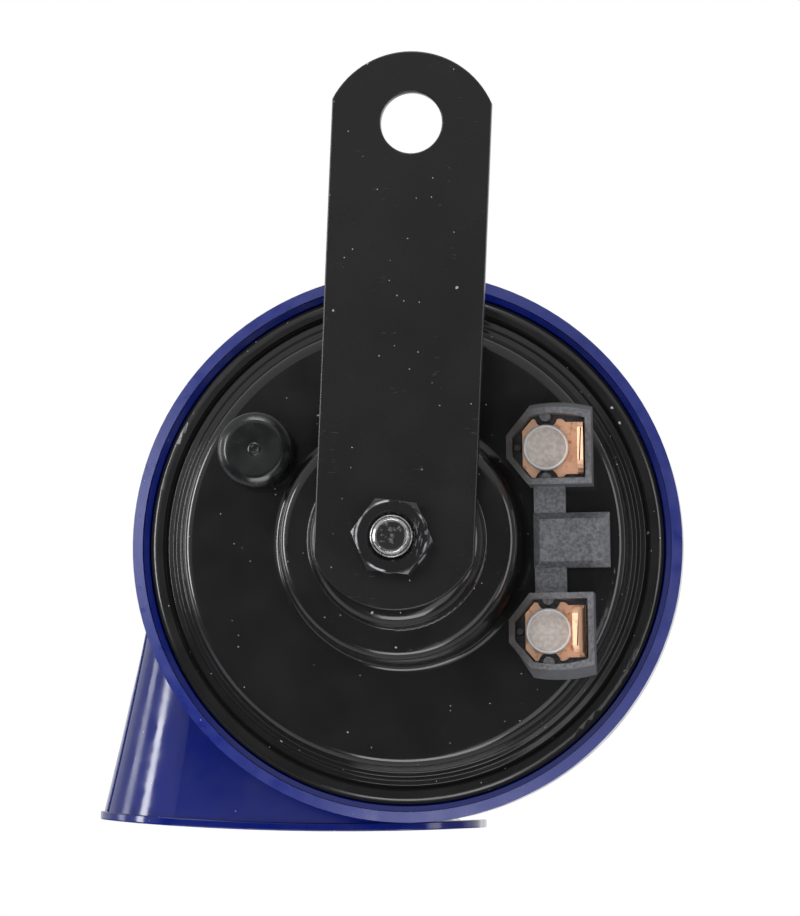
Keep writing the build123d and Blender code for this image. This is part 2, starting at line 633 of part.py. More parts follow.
# Two spade terminals, each with a plate under its rivet and a folded blade that stands up.
upper_plate_room = socket_outline(FLOOR_TOP, SOCKET_OUTER, SOCKET_WALL + 2 * FIT_GAP)
lower_plate_room = upper_plate_room.mirror(BLOCK_MIDDLE)
for place, lean, room, side_name in (
    (RIVET_Y, BLADE_LEANS[0], upper_plate_room, "upper"),
    (-RIVET_Y, BLADE_LEANS[1], lower_plate_room, "lower"),
):
    blade_foot = DRIVE.from_local_coords((RIVET_X + BLADE_OFFSET, place, FLOOR_TOP))
    blade_normal = DRIVE.x_dir.rotate(Axis((0, 0, 0), DRIVE.y_dir), lean)
    blade_plane = Plane(origin=blade_foot, x_dir=DRIVE.y_dir, z_dir=blade_normal)
    with BuildPart() as terminal:
        with BuildSketch(DRIVE.offset(FLOOR_TOP)):
            with Locations((RIVET_X + (BLADE_OFFSET + BLADE_THICKNESS - PLATE_LEFT) / 2, place)):
                Rectangle(PLATE_LEFT + BLADE_OFFSET + BLADE_THICKNESS, PLATE_WIDTH)
            with Locations((RIVET_X, place)):
                with GridLocations(LOBE_SPACING, PLATE_WIDTH - LOBE_RADIUS, 2, 2):
                    Circle(LOBE_RADIUS)
                with GridLocations(LOBE_SPACING, PLATE_WIDTH + 2 * RIB_RADIUS, 1, 2):
                    Circle(2 * RIB_RADIUS, mode=Mode.SUBTRACT)
                Circle(RIVET_SHANK_RADIUS + SHANK_CLEARANCE, mode=Mode.SUBTRACT)
        extrude(amount=PLATE_THICKNESS)
        extrude(room, amount=PLATE_THICKNESS, mode=Mode.INTERSECT)
        with BuildSketch(blade_plane):
            with BuildLine():
                Polyline(
                    (BLADE_SHOULDER / 2, PLATE_THICKNESS / 2),
                    (BLADE_SHOULDER / 2, BLADE_SHOULDER_HEIGHT),
                    (BLADE_WIDTH / 2, BLADE_SHOULDER_HEIGHT + BLADE_SHOULDER_BEVEL),
                    (BLADE_WIDTH / 2, BLADE_END - 2 * BLADE_TIP_BEVEL),
                    (BLADE_WIDTH / 2 - BLADE_TIP_BEVEL, BLADE_END),
                    (BLADE_TIP_BEVEL - BLADE_WIDTH / 2, BLADE_END),
                    (-BLADE_WIDTH / 2, BLADE_END - 2 * BLADE_TIP_BEVEL),
                    (-BLADE_WIDTH / 2, BLADE_SHOULDER_HEIGHT + BLADE_SHOULDER_BEVEL),
                    (-BLADE_SHOULDER / 2, BLADE_SHOULDER_HEIGHT),
                    (-BLADE_SHOULDER / 2, PLATE_THICKNESS / 2),
                    close=True,
                )
            make_face()
        extrude(amount=BLADE_THICKNESS)
    finish(terminal, f"terminal_{side_name}")

    with BuildPart() as terminal_rivet:
        disc(RIVET_X, place, RIVET_SHANK_RADIUS, YOKE_UNDER - SHEET, PLATE_TOP)
        disc(RIVET_X, place, RIVET_HEAD_RADIUS, PLATE_TOP, PLATE_TOP + RIVET_HEAD_THICKNESS)
        disc(RIVET_X, place, RIVET_HEAD_RADIUS, YOKE_UNDER - 1.5 * SHEET, YOKE_UNDER - SHEET / 2)
    finish(terminal_rivet, f"terminal_rivet_{side_name}")

INSULATOR_FRONT = YOKE_UNDER + FIT_GAP
with BuildPart() as inner_insulators:
    for place in (RIVET_Y, -RIVET_Y):
        disc(RIVET_X, place, RIVET_HEAD_RADIUS + 2 * SHEET, INSULATOR_FRONT, ANNULUS_INSIDE)
        disc(
            RIVET_X,
            place,
            RIVET_SHANK_RADIUS + SHANK_CLEARANCE,
            INSULATOR_FRONT,
            ANNULUS_INSIDE,
            mode=Mode.SUBTRACT,
        )
finish(inner_insulators, "inner_insulators")

TAG_FRONT = YOKE_UNDER - SHEET / 2
with BuildPart() as solder_tags:
    for place in (RIVET_Y, -RIVET_Y):
        disc(RIVET_X, place, RIVET_HEAD_RADIUS + SHEET, TAG_FRONT, INSULATOR_FRONT)
        disc(
            RIVET_X,
            place,
            RIVET_SHANK_RADIUS + SHANK_CLEARANCE,
            TAG_FRONT,
            INSULATOR_FRONT,
            mode=Mode.SUBTRACT,
        )
finish(solder_tags, "solder_tags")

# ------------------------------------------------------------------ mounting strap and its nut
END_CENTRE = STRAP_END_RADIUS - STRAP_REACH
with BuildPart() as mounting_strap:
    with BuildSketch(HORN.offset(HUB_HEIGHT)):
        with Locations((0, HOLE_TO_AXIS / 2)):
            Rectangle(STRAP_WIDTH, HOLE_TO_AXIS + 2 * STRAP_REACH)
        with BuildSketch(mode=Mode.INTERSECT):
            with Locations((0, END_CENTRE), (0, HOLE_TO_AXIS - END_CENTRE)):
                Circle(STRAP_END_RADIUS)
            with Locations((0, HOLE_TO_AXIS / 2)):
                Rectangle(STRAP_WIDTH, HOLE_TO_AXIS - 2 * END_CENTRE)
        Circle(STUD_RADIUS + STUD_CLEARANCE, mode=Mode.SUBTRACT)
        with Locations((0, HOLE_TO_AXIS)):
            Circle(STRAP_HOLE_RADIUS, mode=Mode.SUBTRACT)
    extrude(amount=STRAP_THICKNESS)
finish(mounting_strap, "mounting_strap")

NUT_SEAT = HUB_HEIGHT + STRAP_THICKNESS
NUT_CORNER = NUT_ACROSS_FLATS / 2 / cos(radians(30))
NUT_BEVEL = NUT_CORNER - NUT_ACROSS_FLATS / 2
NUT_BORE = STUD_RADIUS + SHANK_CLEARANCE
with BuildPart() as strap_nut:
    with BuildSketch(HORN.offset(NUT_SEAT)):
        RegularPolygon(NUT_ACROSS_FLATS / 2, 6, major_radius=False, rotation=NUT_TURN)
    extrude(amount=NUT_HEIGHT)
    turn(
        (NUT_BORE + NUT_BORE_BEVEL, NUT_SEAT),
        (NUT_CORNER - NUT_BEVEL, NUT_SEAT),
        (NUT_CORNER, NUT_SEAT + NUT_BEVEL / 2),
        (NUT_CORNER, NUT_TOP - NUT_BEVEL / 2),
        (NUT_CORNER - NUT_BEVEL, NUT_TOP),
        (NUT_BORE + NUT_BORE_BEVEL, NUT_TOP),
        (NUT_BORE, NUT_TOP - NUT_BORE_BEVEL),
        (NUT_BORE, NUT_SEAT + NUT_BORE_BEVEL),
        mode=Mode.INTERSECT,
    )
finish(strap_nut, "strap_nut")

# ------------------------------------------------------------------ trumpet
GROWTH = -log(SPIRAL_RATIO) / 360
DEPTH_GROWTH = log(CHANNEL_DEPTH / CHANNEL_START_DEPTH) / 360


def spiral_section(angle, wall):
    """Place and size the spiral channel's section at an angle, grown by a wall or not at all."""
    outer = SPIRAL_RADIUS - TRUMPET_WALL
    outer = outer * exp(-GROWTH * (180 - angle))
    inner = SPIRAL_RATIO * outer + TRUMPET_WALL
    depth = CHANNEL_DEPTH * exp(-DEPTH_GROWTH * (180 - angle))
    outer += wall
    inner -= INNER_SHARE * wall
    middle = (outer + inner) / 2
    direction = radians(angle)
    centre = (middle * cos(direction), middle * sin(direction), CHANNEL_REAR - depth / 2)
    plane = Plane(
        origin=TRUMPET.from_local_coords(centre),
        x_dir=TRUMPET.from_local_coords(Vector(cos(direction), sin(direction), 0)) - TRUMPET.origin,
        z_dir=TRUMPET.from_local_coords(Vector(-sin(direction), cos(direction), 0)) - TRUMPET.origin,
    )
    width = outer - inner
    height = depth + 2 * wall
    return plane, width, height, CORNER_SHARE * min(width, height)


def bell_section(share, wall):
    """Place and size the bell's section, from the spiral's end at 0 to the mouth at 1."""
    spiral_outer = SPIRAL_RADIUS - TRUMPET_WALL
    spiral_inner = SPIRAL_RATIO * spiral_outer + TRUMPET_WALL
    left = -spiral_outer + share * (MOUTH_LEFT + TRUMPET_WALL + spiral_outer)
    flare = (exp(FLARE * share) - 1) / (exp(FLARE) - 1)
    right = -spiral_inner + flare * (MOUTH_RIGHT - LIP_REACH - TRUMPET_WALL + spiral_inner)
    growth = (1 - DEPTH_FLARE) * share + DEPTH_FLARE * flare
    depth = CHANNEL_DEPTH + (MOUTH_DEPTH - CHANNEL_DEPTH) * growth
    left -= wall
    right += wall
    centre = ((left + right) / 2, -share * MOUTH_DROP, CHANNEL_REAR + REAR_FLARE * flare - depth / 2)
    plane = Plane(
        origin=TRUMPET.from_local_coords(centre),
        x_dir=-TRUMPET.x_dir,
        z_dir=-TRUMPET.y_dir,
    )
    width = right - left
    height = depth + 2 * wall
    corner = CORNER_SHARE * min(width, height) * (1 - share) + MOUTH_CORNER * share
    return plane, width, height, corner


def loft_sections(sections, mode=Mode.ADD):
    """Loft through rounded rectangles."""
    profiles = []
    for plane, width, height, corner in sections:
        with BuildSketch(plane) as profile:
            RectangleRounded(width, height, corner)
        profiles.append(profile.sketch)
    loft(profiles, mode=mode)


INNER_ANGLES = [SPIRAL_START - step * SPIRAL_START / 5 for step in range(6)]
OUTER_ANGLES = [0, 30, 60, 90, 120, 150]
BELL_SHARES = [0, 0.2, 0.4, 0.6, 0.78, 0.91, 1.0]
start_plane, start_width, start_height = spiral_section(SPIRAL_START, 0)[:3]
start_middle = TRUMPET.from_local_coords((0, 0, CHANNEL_REAR - start_height / 2))
start_radius = (start_plane.origin - start_middle).length


def throat_slot(wall, height):
    """Outline the slot that leads from the drive axis into the spiral's start."""
    direction = radians(SPIRAL_START)
    middle = (start_radius / 2 * cos(direction), start_radius / 2 * sin(direction))
    with BuildSketch(TRUMPET.offset(height)) as slot:
        with Locations(Location((*middle, 0), SPIRAL_START)):
            SlotCenterToCenter(start_radius, start_width + 2 * wall)
    return slot.sketch


with BuildPart() as throat_shell:
    extrude(throat_slot(TRUMPET_WALL, CUP_UNDER + 1), amount=-start_height - TRUMPET_WALL - 1)
    fillet(edges().group_by(Axis.Y)[-1], TRUMPET_WALL)


def bow(raised, mode):
    """Keep or clear what lies above the mouth's bowed edge, which may be raised."""
    with BuildSketch(TRUMPET) as bowed:
        with Locations(((MOUTH_LEFT + MOUTH_RIGHT) / 2, MOUTH_BOW_RADIUS - MOUTH_DROP + raised)):
            Circle(MOUTH_BOW_RADIUS)
    extrude(bowed.sketch, amount=2 * MOUTH_DEPTH, both=True, mode=mode)


with BuildPart() as mouth_lip:
    mouth_plane, mouth_width, mouth_height, mouth_corner = bell_section(1, TRUMPET_WALL)
    with BuildSketch(mouth_plane):
        with Locations((-LIP_REACH / 2, 0)):
            RectangleRounded(mouth_width + LIP_REACH, mouth_height + 2 * LIP_REACH, mouth_corner)
    extrude(amount=-MOUTH_DROP / 2)
    bow(0, Mode.INTERSECT)
    bow(LIP_HEIGHT, Mode.SUBTRACT)
    fillet(edges().filter_by(Axis(mouth_plane.origin, TRUMPET.y_dir), reverse=True), LIP_REACH / 2)

with BuildPart() as trumpet:
    turn(
        (0, CUP_UNDER),
        (RIM_RADIUS - CUP_EDGE, CUP_UNDER),
        (RIM_RADIUS, CUP_UNDER + CUP_EDGE),
        (RIM_RADIUS, -RIM_FALL),
        (RIM_RADIUS - RIM_BAND, 0),
        (RIM_RADIUS - RIM_BAND - FIT_GAP, -RIM_STEP),
        (RECESS_RADIUS + FIT_GAP, -RIM_STEP - FIT_GAP),
        (RECESS_RADIUS, -RIM_STEP - 2 * FIT_GAP),
        (RECESS_RADIUS, LEDGE),
        (DISH_RADIUS + FIT_GAP, LEDGE),
        (DISH_RADIUS + FIT_GAP, CUP_FLOOR),
        (0, CUP_FLOOR),
    )
    loft_sections([spiral_section(angle, TRUMPET_WALL) for angle in INNER_ANGLES])
    loft_sections(
        [spiral_section(angle, TRUMPET_WALL) for angle in OUTER_ANGLES]
        + [bell_section(share, TRUMPET_WALL) for share in BELL_SHARES]
    )
    add(throat_shell.part)
    add(mouth_lip.part)
    loft_sections([spiral_section(angle, 0) for angle in INNER_ANGLES], mode=Mode.SUBTRACT)
    loft_sections(
        [spiral_section(angle, 0) for angle in OUTER_ANGLES]
        + [bell_section(share, 0) for share in BELL_SHARES],
        mode=Mode.SUBTRACT,
    )
    extrude(throat_slot(0, CHANNEL_REAR), amount=-start_height + 1, mode=Mode.SUBTRACT)
    ring(0, THROAT_RADIUS, CHANNEL_REAR - 1, CUP_FLOOR, mode=Mode.SUBTRACT)
    bow(0, Mode.INTERSECT)

with BuildPart() as trumpet_rear:
    add(trumpet.part)
    split(bisect_by=HORN.offset(PARTING), keep=Keep.TOP)
finish(trumpet_rear, "trumpet_rear")

with BuildPart() as trumpet_front:
    add(trumpet.part)
    split(bisect_by=HORN.offset(PARTING), keep=Keep.BOTTOM)
finish(trumpet_front, "trumpet_front")
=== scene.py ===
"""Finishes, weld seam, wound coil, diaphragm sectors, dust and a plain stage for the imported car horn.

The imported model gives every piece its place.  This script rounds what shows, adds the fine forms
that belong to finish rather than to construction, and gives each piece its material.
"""
from math import cos, pi, radians, sin

import bmesh
import bpy
from mathutils import Matrix, Vector
from mathutils.bvhtree import BVHTree


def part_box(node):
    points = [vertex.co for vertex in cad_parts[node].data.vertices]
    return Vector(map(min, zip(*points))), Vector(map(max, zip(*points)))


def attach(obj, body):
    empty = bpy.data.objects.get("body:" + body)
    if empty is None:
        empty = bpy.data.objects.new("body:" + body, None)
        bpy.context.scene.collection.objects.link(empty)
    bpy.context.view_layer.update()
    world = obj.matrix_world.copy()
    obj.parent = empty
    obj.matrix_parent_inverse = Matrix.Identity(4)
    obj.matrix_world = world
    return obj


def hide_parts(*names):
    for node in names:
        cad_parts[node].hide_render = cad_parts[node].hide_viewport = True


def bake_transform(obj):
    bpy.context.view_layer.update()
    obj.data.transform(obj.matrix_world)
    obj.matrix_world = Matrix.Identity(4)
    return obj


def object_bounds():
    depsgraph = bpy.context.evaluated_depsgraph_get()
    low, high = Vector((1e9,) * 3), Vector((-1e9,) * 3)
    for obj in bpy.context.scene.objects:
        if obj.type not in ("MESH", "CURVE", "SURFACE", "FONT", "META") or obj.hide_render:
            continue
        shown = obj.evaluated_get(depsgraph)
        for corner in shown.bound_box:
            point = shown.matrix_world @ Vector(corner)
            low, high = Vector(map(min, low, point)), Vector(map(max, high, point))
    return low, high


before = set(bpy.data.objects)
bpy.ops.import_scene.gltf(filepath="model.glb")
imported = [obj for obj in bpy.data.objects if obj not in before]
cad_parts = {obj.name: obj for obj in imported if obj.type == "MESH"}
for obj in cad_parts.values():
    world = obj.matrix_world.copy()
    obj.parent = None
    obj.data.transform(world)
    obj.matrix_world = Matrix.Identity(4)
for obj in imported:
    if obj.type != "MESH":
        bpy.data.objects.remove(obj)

bl_info = {
    "name": "Car horn finisher",
    "version": (1, 0, 0),
    "blender": (4, 5, 0),
    "location": "View3D > Sidebar > Horn",
    "description": "Finishes a snail-trumpet car horn around its packed construction",
    "category": "Object",
}

MM = 0.001
BODY = "horn"
CAD_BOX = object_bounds()

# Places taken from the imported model: the drive's axis and the rear face of the trumpet's rim.
STUD_LOW, STUD_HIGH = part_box("core_stud")
AXIS_X = (STUD_LOW.x + STUD_HIGH.x) / 2
AXIS_Z = (STUD_LOW.z + STUD_HIGH.z) / 2
RIM_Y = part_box("trumpet_rear")[0].y

# Vertices closer than this are one, and faces that meet at less than this angle are one.
SAME_POINT = 0.002 * MM
SAME_PLANE = radians(0.5)


def linear(hex_colour):
    """Turn an sRGB hex colour into linear red, green, blue and alpha."""
    channels = []
    for start in (1, 3, 5):
        value = int(hex_colour[start:start + 2], 16) / 255
        channels.append(value / 12.92 if value <= 0.04045 else ((value + 0.055) / 1.055) ** 2.4)
    return (*channels, 1.0)


def shade(colour, factor):
    """Make a colour darker or paler."""
    return (*(min(1.0, factor * channel) for channel in colour[:3]), 1.0)


def colour_property(name, description, hex_colour):
    """Describe a colour that a user can change."""
    return bpy.props.FloatVectorProperty(
        name=name, description=description, default=linear(hex_colour), size=4,
        min=0.0, max=1.0, subtype="COLOR",
    )


def length_property(name, description, millimetres):
    """Describe a length that a user can change."""
    return bpy.props.FloatProperty(
        name=name, description=description, default=millimetres * MM, min=0.0,
        subtype="DISTANCE", unit="LENGTH",
    )


def share_property(name, description, value):
    """Describe a number between nothing and one that a user can change."""
    return bpy.props.FloatProperty(
        name=name, description=description, default=value, min=0.0, max=1.0, subtype="FACTOR"
    )


# ---------------------------------------- sizes and colours a user sets
class HornTrumpetSettings(bpy.types.PropertyGroup):
    """Colour and surface of the two trumpet mouldings."""

    colour: colour_property("Plastic", "Colour of the trumpet's plastic", "#021360")
    roughness: share_property("Roughness", "Roughness of the moulded skin", 0.14)
    seam_radius: length_property("Seam radius", "Half width of the weld's bead", 0.2)


class HornDriveSettings(bpy.types.PropertyGroup):
    """Colour and surface of the coated steel pieces."""

    coat: colour_property("Coating", "Colour of the steel's black coating", "#151516")
    roughness: share_property("Can roughness", "Roughness of the pressed can", 0.12)
    strap_roughness: share_property("Strap roughness", "Roughness of the strap", 0.26)
    crimp_edge: length_property("Crimp edge", "Rounding of the crimp's cut edge", 0.14)
    strap_edge: length_property("Strap edge", "Rounding of the strap's cut edges", 0.22)


class HornTerminalSettings(bpy.types.PropertyGroup):
    """Colours and edges of the terminal block and its metal."""

    block: colour_property("Block", "Colour of the block's nylon", "#55565A")
    copper: colour_property("Copper", "Colour of the plated sheet", "#FFCBA6")
    rivet: colour_property("Rivet", "Colour of the rivets' heads", "#C4C1BE")
    block_edge: length_property("Block edge", "Rounding of the block's moulded edges", 0.16)
    metal_edge: length_property("Metal edge", "Rounding of the terminals' cut edges", 0.08)


class HornCoilSettings(bpy.types.PropertyGroup):
    """The magnet coil's enamelled wire."""

    wire: length_property("Wire", "Thickness of the winding wire", 0.5)
    inner: length_property("Inner radius", "Radius at which the winding begins", 8.0)


class HornStageSettings(bpy.types.PropertyGroup):
    """Floor, lamps and camera."""

    drop: length_property("Drop", "Height at which the horn hangs above the floor", 450.0)
    lens: bpy.props.FloatProperty(
        name="Lens", description="Focal length of the camera", default=193.8,
        subtype="DISTANCE_CAMERA",
    )


# ---------------------------------------- nodes
# Kinds of node, and settings, that come often.
NOISE = "ShaderNodeTexNoise"
MATH = "ShaderNodeMath"
VECTOR = "ShaderNodeVectorMath"
RANGE = "ShaderNodeMapRange"
MIX = "ShaderNodeMix"
BUMP = "ShaderNodeBump"
SPLIT = "ShaderNodeSeparateXYZ"
SOFT = {"interpolation_type": "SMOOTHSTEP"}
COLOURS = {"data_type": "RGBA"}


def add_node(tree, kind, inputs=(), **settings):
    """Add a node, set it up, and fill its inputs with values, sockets or nodes' first outputs."""
    node = tree.nodes.new(kind)
    for name, value in settings.items():
        setattr(node, name, value)
    # Inputs are given by name, or else in the order in which the node shows them.
    sockets = [socket for socket in node.inputs if socket.enabled]
    if isinstance(inputs, dict):
        named = {socket.name: socket for socket in reversed(sockets)}
        sockets = [named[name] for name in inputs]
        inputs = inputs.values()
    for socket, value in zip(sockets, inputs):
        if isinstance(value, bpy.types.Node):
            value = next(output for output in value.outputs if output.enabled)
        if isinstance(value, bpy.types.NodeSocket):
            tree.links.new(value, socket)
        else:
            socket.default_value = value
    return node


def start_material(name):
    """Begin a material; return it, its tree and its Object coordinates."""
    material = bpy.data.materials.new(name)
    material.use_nodes = True
    tree = material.node_tree
    tree.nodes.clear()
    place = add_node(tree, "ShaderNodeTexCoord").outputs["Object"]
    return material, tree, place


def finish_material(material, inputs):
    """Close a material with one surface shader that has the inputs given."""
    tree = material.node_tree
    shader = add_node(tree, "ShaderNodeBsdfPrincipled", inputs)
    add_node(tree, "ShaderNodeOutputMaterial", {"Surface": shader})
    return material


def grain(millimetres):
    """Return the texture scale whose lumps measure a size in millimetres."""
    return 1 / (millimetres * MM)


# ---------------------------------------- marks that several finishes share
def specks(tree, place, spacing, radius, share):
    """Return a mask of small separate specks, in a share of the cells of a spacing in millimetres."""
    cells = add_node(tree, "ShaderNodeTexVoronoi", {"Vector": place, "Scale": grain(spacing)})
    ragged = add_node(tree, NOISE, (place, grain(radius), 3.0))
    reach = add_node(tree, MATH, (ragged, 2 * radius / spacing), operation="MULTIPLY")
    inside = add_node(tree, MATH, (cells.outputs["Distance"], reach), operation="LESS_THAN")
    lottery = add_node(tree, "ShaderNodeSeparateColor", (cells.outputs["Color"],))
    chosen = add_node(tree, MATH, (lottery, share), operation="LESS_THAN")
    return add_node(tree, MATH, (inside, chosen), operation="MULTIPLY")


def dusted(tree, place, body, share):
    """Blend fine and coarse dust into a colour; return the colour and the dust's mask."""
    fine = specks(tree, place, 1.1, 0.09, share)
    coarse = specks(tree, place, 3.4, 0.2, share)
    dust = add_node(tree, MATH, (fine, coarse), operation="MAXIMUM")
    return add_node(tree, MIX, (dust, body, linear(DUST)), **COLOURS), dust


def scratches(tree, place, stretch, width, share):
    """Return a mask of thin straight scratches that run along the stretched axis."""
    scaled = add_node(tree, "ShaderNodeMapping", {"Vector": place, "Scale": stretch})
    lines = add_node(tree, NOISE, (scaled, grain(width), 1.0))
    return add_node(tree, RANGE, (lines, 1 - share, 1 - share + 0.03), **SOFT)


def from_axis(tree, place):
    """Return the distance from the drive's axis, in metres."""
    centred = add_node(tree, VECTOR, (place, (AXIS_X, 0.0, AXIS_Z)), operation="SUBTRACT")
    flat = add_node(tree, VECTOR, (centred, (1.0, 0.0, 1.0)), operation="MULTIPLY")
    return add_node(tree, VECTOR, (flat,), operation="LENGTH")


def near_place(tree, place, point, radius):
    """Return a soft mask round a point, full within three tenths of the radius."""
    away = add_node(tree, VECTOR, (place, point), operation="DISTANCE")
    return add_node(tree, RANGE, (away, radius, 0.3 * radius), **SOFT)


def stained(tree, place, body, point, radius, hex_colour):
    """Blend a ragged stain round a point into a colour."""
    ragged = add_node(tree, NOISE, (place, grain(0.5), 4.0))
    near = near_place(tree, place, point, radius)
    cover = add_node(tree, MATH, (near, ragged), operation="MULTIPLY")
    cover = add_node(tree, RANGE, (cover, 0.36, 0.5), **SOFT)
    return add_node(tree, MIX, (cover, body, linear(hex_colour)), **COLOURS)


def on_drive(degrees, radius, height):
    """Place a point by its angle, its radius and its height behind the rim, in millimetres."""
    angle = radians(degrees)
    x = AXIS_X + radius * MM * cos(angle)
    z = AXIS_Z + radius * MM * sin(angle)
    return x, RIM_Y - height * MM, z


# ---------------------------------------- materials
DUST = "#8E8E8C"
RUST_PLACES = (on_drive(33.0, 17.2, 9.5), on_drive(-29.0, 17.2, 9.5))
CHIP_PLACES = (on_drive(35.9, 35.6, 0.0), on_drive(32.0, 35.5, 0.0))


def navy_abs(settings):
    """ABS, injection moulded against a polished tool: deep blue, glossy, faintly wavy."""
    material, tree, place = start_material("navy_moulded_abs")
    cloud = add_node(tree, NOISE, (place, grain(18), 3.0))
    body = add_node(tree, MIX, (cloud, shade(settings.colour, 0.85), settings.colour), **COLOURS)
    # The rim's rear face is dulled by handling; its paler colour is partly wear and partly painted sheen.
    depth = add_node(tree, SPLIT, (place,)).outputs["Y"]
    rim = add_node(tree, RANGE, (depth, RIM_Y + 0.9 * MM, RIM_Y + 0.6 * MM), **SOFT)
    rubbing_and_sheen = add_node(tree, NOISE, (place, grain(2.5), 5.0))
    rubbing_and_sheen = add_node(tree, RANGE, (rubbing_and_sheen, 0.2, 0.7, 0.4, 0.9), **SOFT)
    worn_and_painted_sheen = add_node(tree, MATH, (rim, rubbing_and_sheen), operation="MULTIPLY")
    # Paler blue on the rim: partly wear, partly painted sheen.
    body = add_node(tree, MIX, (worn_and_painted_sheen, body, linear("#15226C")), **COLOURS)
    dust = specks(tree, place, 1.6, 0.12, 0.2)
    body = add_node(tree, MIX, (dust, body, linear("#6F78A8")), **COLOURS)
    low, high = settings.roughness - 0.04, settings.roughness + 0.08
    gloss = add_node(tree, NOISE, (place, grain(6), 4.0))
    gloss = add_node(tree, RANGE, (gloss, 0.3, 0.7, low, high), **SOFT)
    dulling = add_node(tree, MATH, (worn_and_painted_sheen, 0.25), operation="MULTIPLY")
    gloss = add_node(tree, MATH, (gloss, dulling), operation="ADD")
    wave = add_node(tree, NOISE, (place, grain(3), 1.0))
    skin = add_node(tree, BUMP, {"Height": wave, "Distance": 0.01 * MM})
    skin = add_node(tree, BUMP, {"Height": dust, "Distance": 0.03 * MM, "Normal": skin})
    return finish_material(material, {"Base Color": body, "Roughness": gloss, "Normal": skin})


def black_coat(name, settings, roughness, rust=(), chips=()):
    """Electro-coated pressed steel: near black, glossy, with fine orange peel and settled dust."""
    material, tree, place = start_material(name)
    cloud = add_node(tree, NOISE, (place, grain(9), 4.0))
    body = add_node(tree, MIX, (cloud, settings.coat, shade(settings.coat, 1.3)), **COLOURS)
    body, dust = dusted(tree, place, body, 0.22)
    for point in rust:
        body = stained(tree, place, body, point, 3.6 * MM, "#5B3520")
    for point in chips:
        body = stained(tree, place, body, point, 0.45 * MM, "#A9A9A7")
    gloss = add_node(tree, NOISE, (place, grain(7), 5.0))
    gloss = add_node(tree, RANGE, (gloss, 0.3, 0.7, roughness - 0.03, roughness + 0.07), **SOFT)
    peel = add_node(tree, NOISE, (place, grain(0.9), 2.0))
    skin = add_node(tree, BUMP, {"Height": peel, "Distance": 0.003 * MM})
    skin = add_node(tree, BUMP, {"Height": dust, "Distance": 0.05 * MM, "Normal": skin})
    return finish_material(material, {"Base Color": body, "Roughness": gloss, "Normal": skin})


def strap_coat(settings):
    """Electro-coat over cold-rolled strip: satin black with handling scratches and pits."""
    material, tree, place = start_material("satin_black_strip")
    grit = add_node(tree, NOISE, (place, grain(0.35), 3.0, 0.6))
    body = add_node(tree, MIX, (grit, shade(settings.coat, 0.5), settings.coat), **COLOURS)
    body, dust = dusted(tree, place, body, 0.2)
    # Handling scratches run nearly across the strap, in a few patches.
    marks = scratches(tree, place, (0.05, 1.0, 1.0), 0.1, 0.3)
    patch = add_node(tree, NOISE, (place, grain(7), 1.0))
    patch = add_node(tree, RANGE, (patch, 0.54, 0.62), **SOFT)
    marks = add_node(tree, MATH, (marks, patch), operation="MULTIPLY")
    pale = add_node(tree, MATH, (marks, 0.4), operation="MULTIPLY")
    body = add_node(tree, MIX, (pale, body, linear("#4C4C4C")), **COLOURS)
    low, high = settings.strap_roughness - 0.03, settings.strap_roughness + 0.05
    gloss = add_node(tree, NOISE, (place, grain(12), 5.0))
    gloss = add_node(tree, RANGE, (gloss, 0.3, 0.7, low, high), **SOFT)
    pits = specks(tree, place, 2.2, 0.18, 0.18)
    skin = add_node(tree, BUMP, {"Height": grit, "Distance": 0.003 * MM})
    skin = add_node(tree, BUMP, {"Height": pits, "Distance": -0.05 * MM, "Normal": skin})
    skin = add_node(tree, BUMP, {"Height": marks, "Distance": -0.006 * MM, "Normal": skin})
    skin = add_node(tree, BUMP, {"Height": dust, "Distance": 0.05 * MM, "Normal": skin})
    return finish_material(material, {"Base Color": body, "Roughness": gloss, "Normal": skin})


def black_zinc():
    """Sealed black zinc on a cold-formed nut: dark satin skin, a painted highlight along the chamfer's
    circle, scuffed grey where a spanner slips.
    """
    material, tree, place = start_material("black_zinc_nut")
    radius = from_axis(tree, place)
    # A painted highlight lies along parts of the edge of the chamfer's circle.
    ragged = add_node(tree, NOISE, (place, grain(3.2), 4.0))
    ragged = add_node(tree, RANGE, (ragged, 0.46, 0.6, 0.0, 0.55), **SOFT)
    inner = add_node(tree, RANGE, (radius, 4.72 * MM, 4.85 * MM), **SOFT)
    outer = add_node(tree, RANGE, (radius, 5.12 * MM, 5.0 * MM), **SOFT)
    line = add_node(tree, MATH, (inner, outer), operation="MULTIPLY")
    painted_edge_highlight = add_node(tree, MATH, (line, ragged), operation="MULTIPLY")
    # The corners outside that circle are a little greyer, and a spanner scuffed the right-hand one.
    corner = add_node(tree, RANGE, (radius, 4.9 * MM, 5.05 * MM, 0.0, 0.02), **SOFT)
    right_corner = (AXIS_X + 4.0 * MM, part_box("strap_nut")[0].y, AXIS_Z)
    side = near_place(tree, place, right_corner, 3.2 * MM)
    side = add_node(tree, MATH, (side, 0.14), operation="MULTIPLY")
    scuffs = scratches(tree, place, (1.0, 1.0, 0.25), 0.22, 0.42)
    scuffed = add_node(tree, MATH, (scuffs, side), operation="MULTIPLY")
    highlight_and_scuffs = add_node(tree, MATH, (painted_edge_highlight, corner), operation="MAXIMUM")
    highlight_and_scuffs = add_node(tree, MATH, (highlight_and_scuffs, scuffed), operation="MAXIMUM")
    # Painted highlight on the chamfer's circle, with real scuffs and slightly greyer corners.
    body = add_node(tree, MIX, (highlight_and_scuffs, linear("#121214"), linear("#C4C4C8")), **COLOURS)
    gloss = add_node(tree, RANGE, (highlight_and_scuffs, 0.0, 1.0, 0.24, 0.4), **SOFT)
    uneven = add_node(tree, NOISE, (place, grain(0.5), 4.0))
    skin = add_node(tree, BUMP, {"Height": uneven, "Distance": 0.01 * MM})
    return finish_material(material, {"Base Color": body, "Roughness": gloss, "Normal": skin})


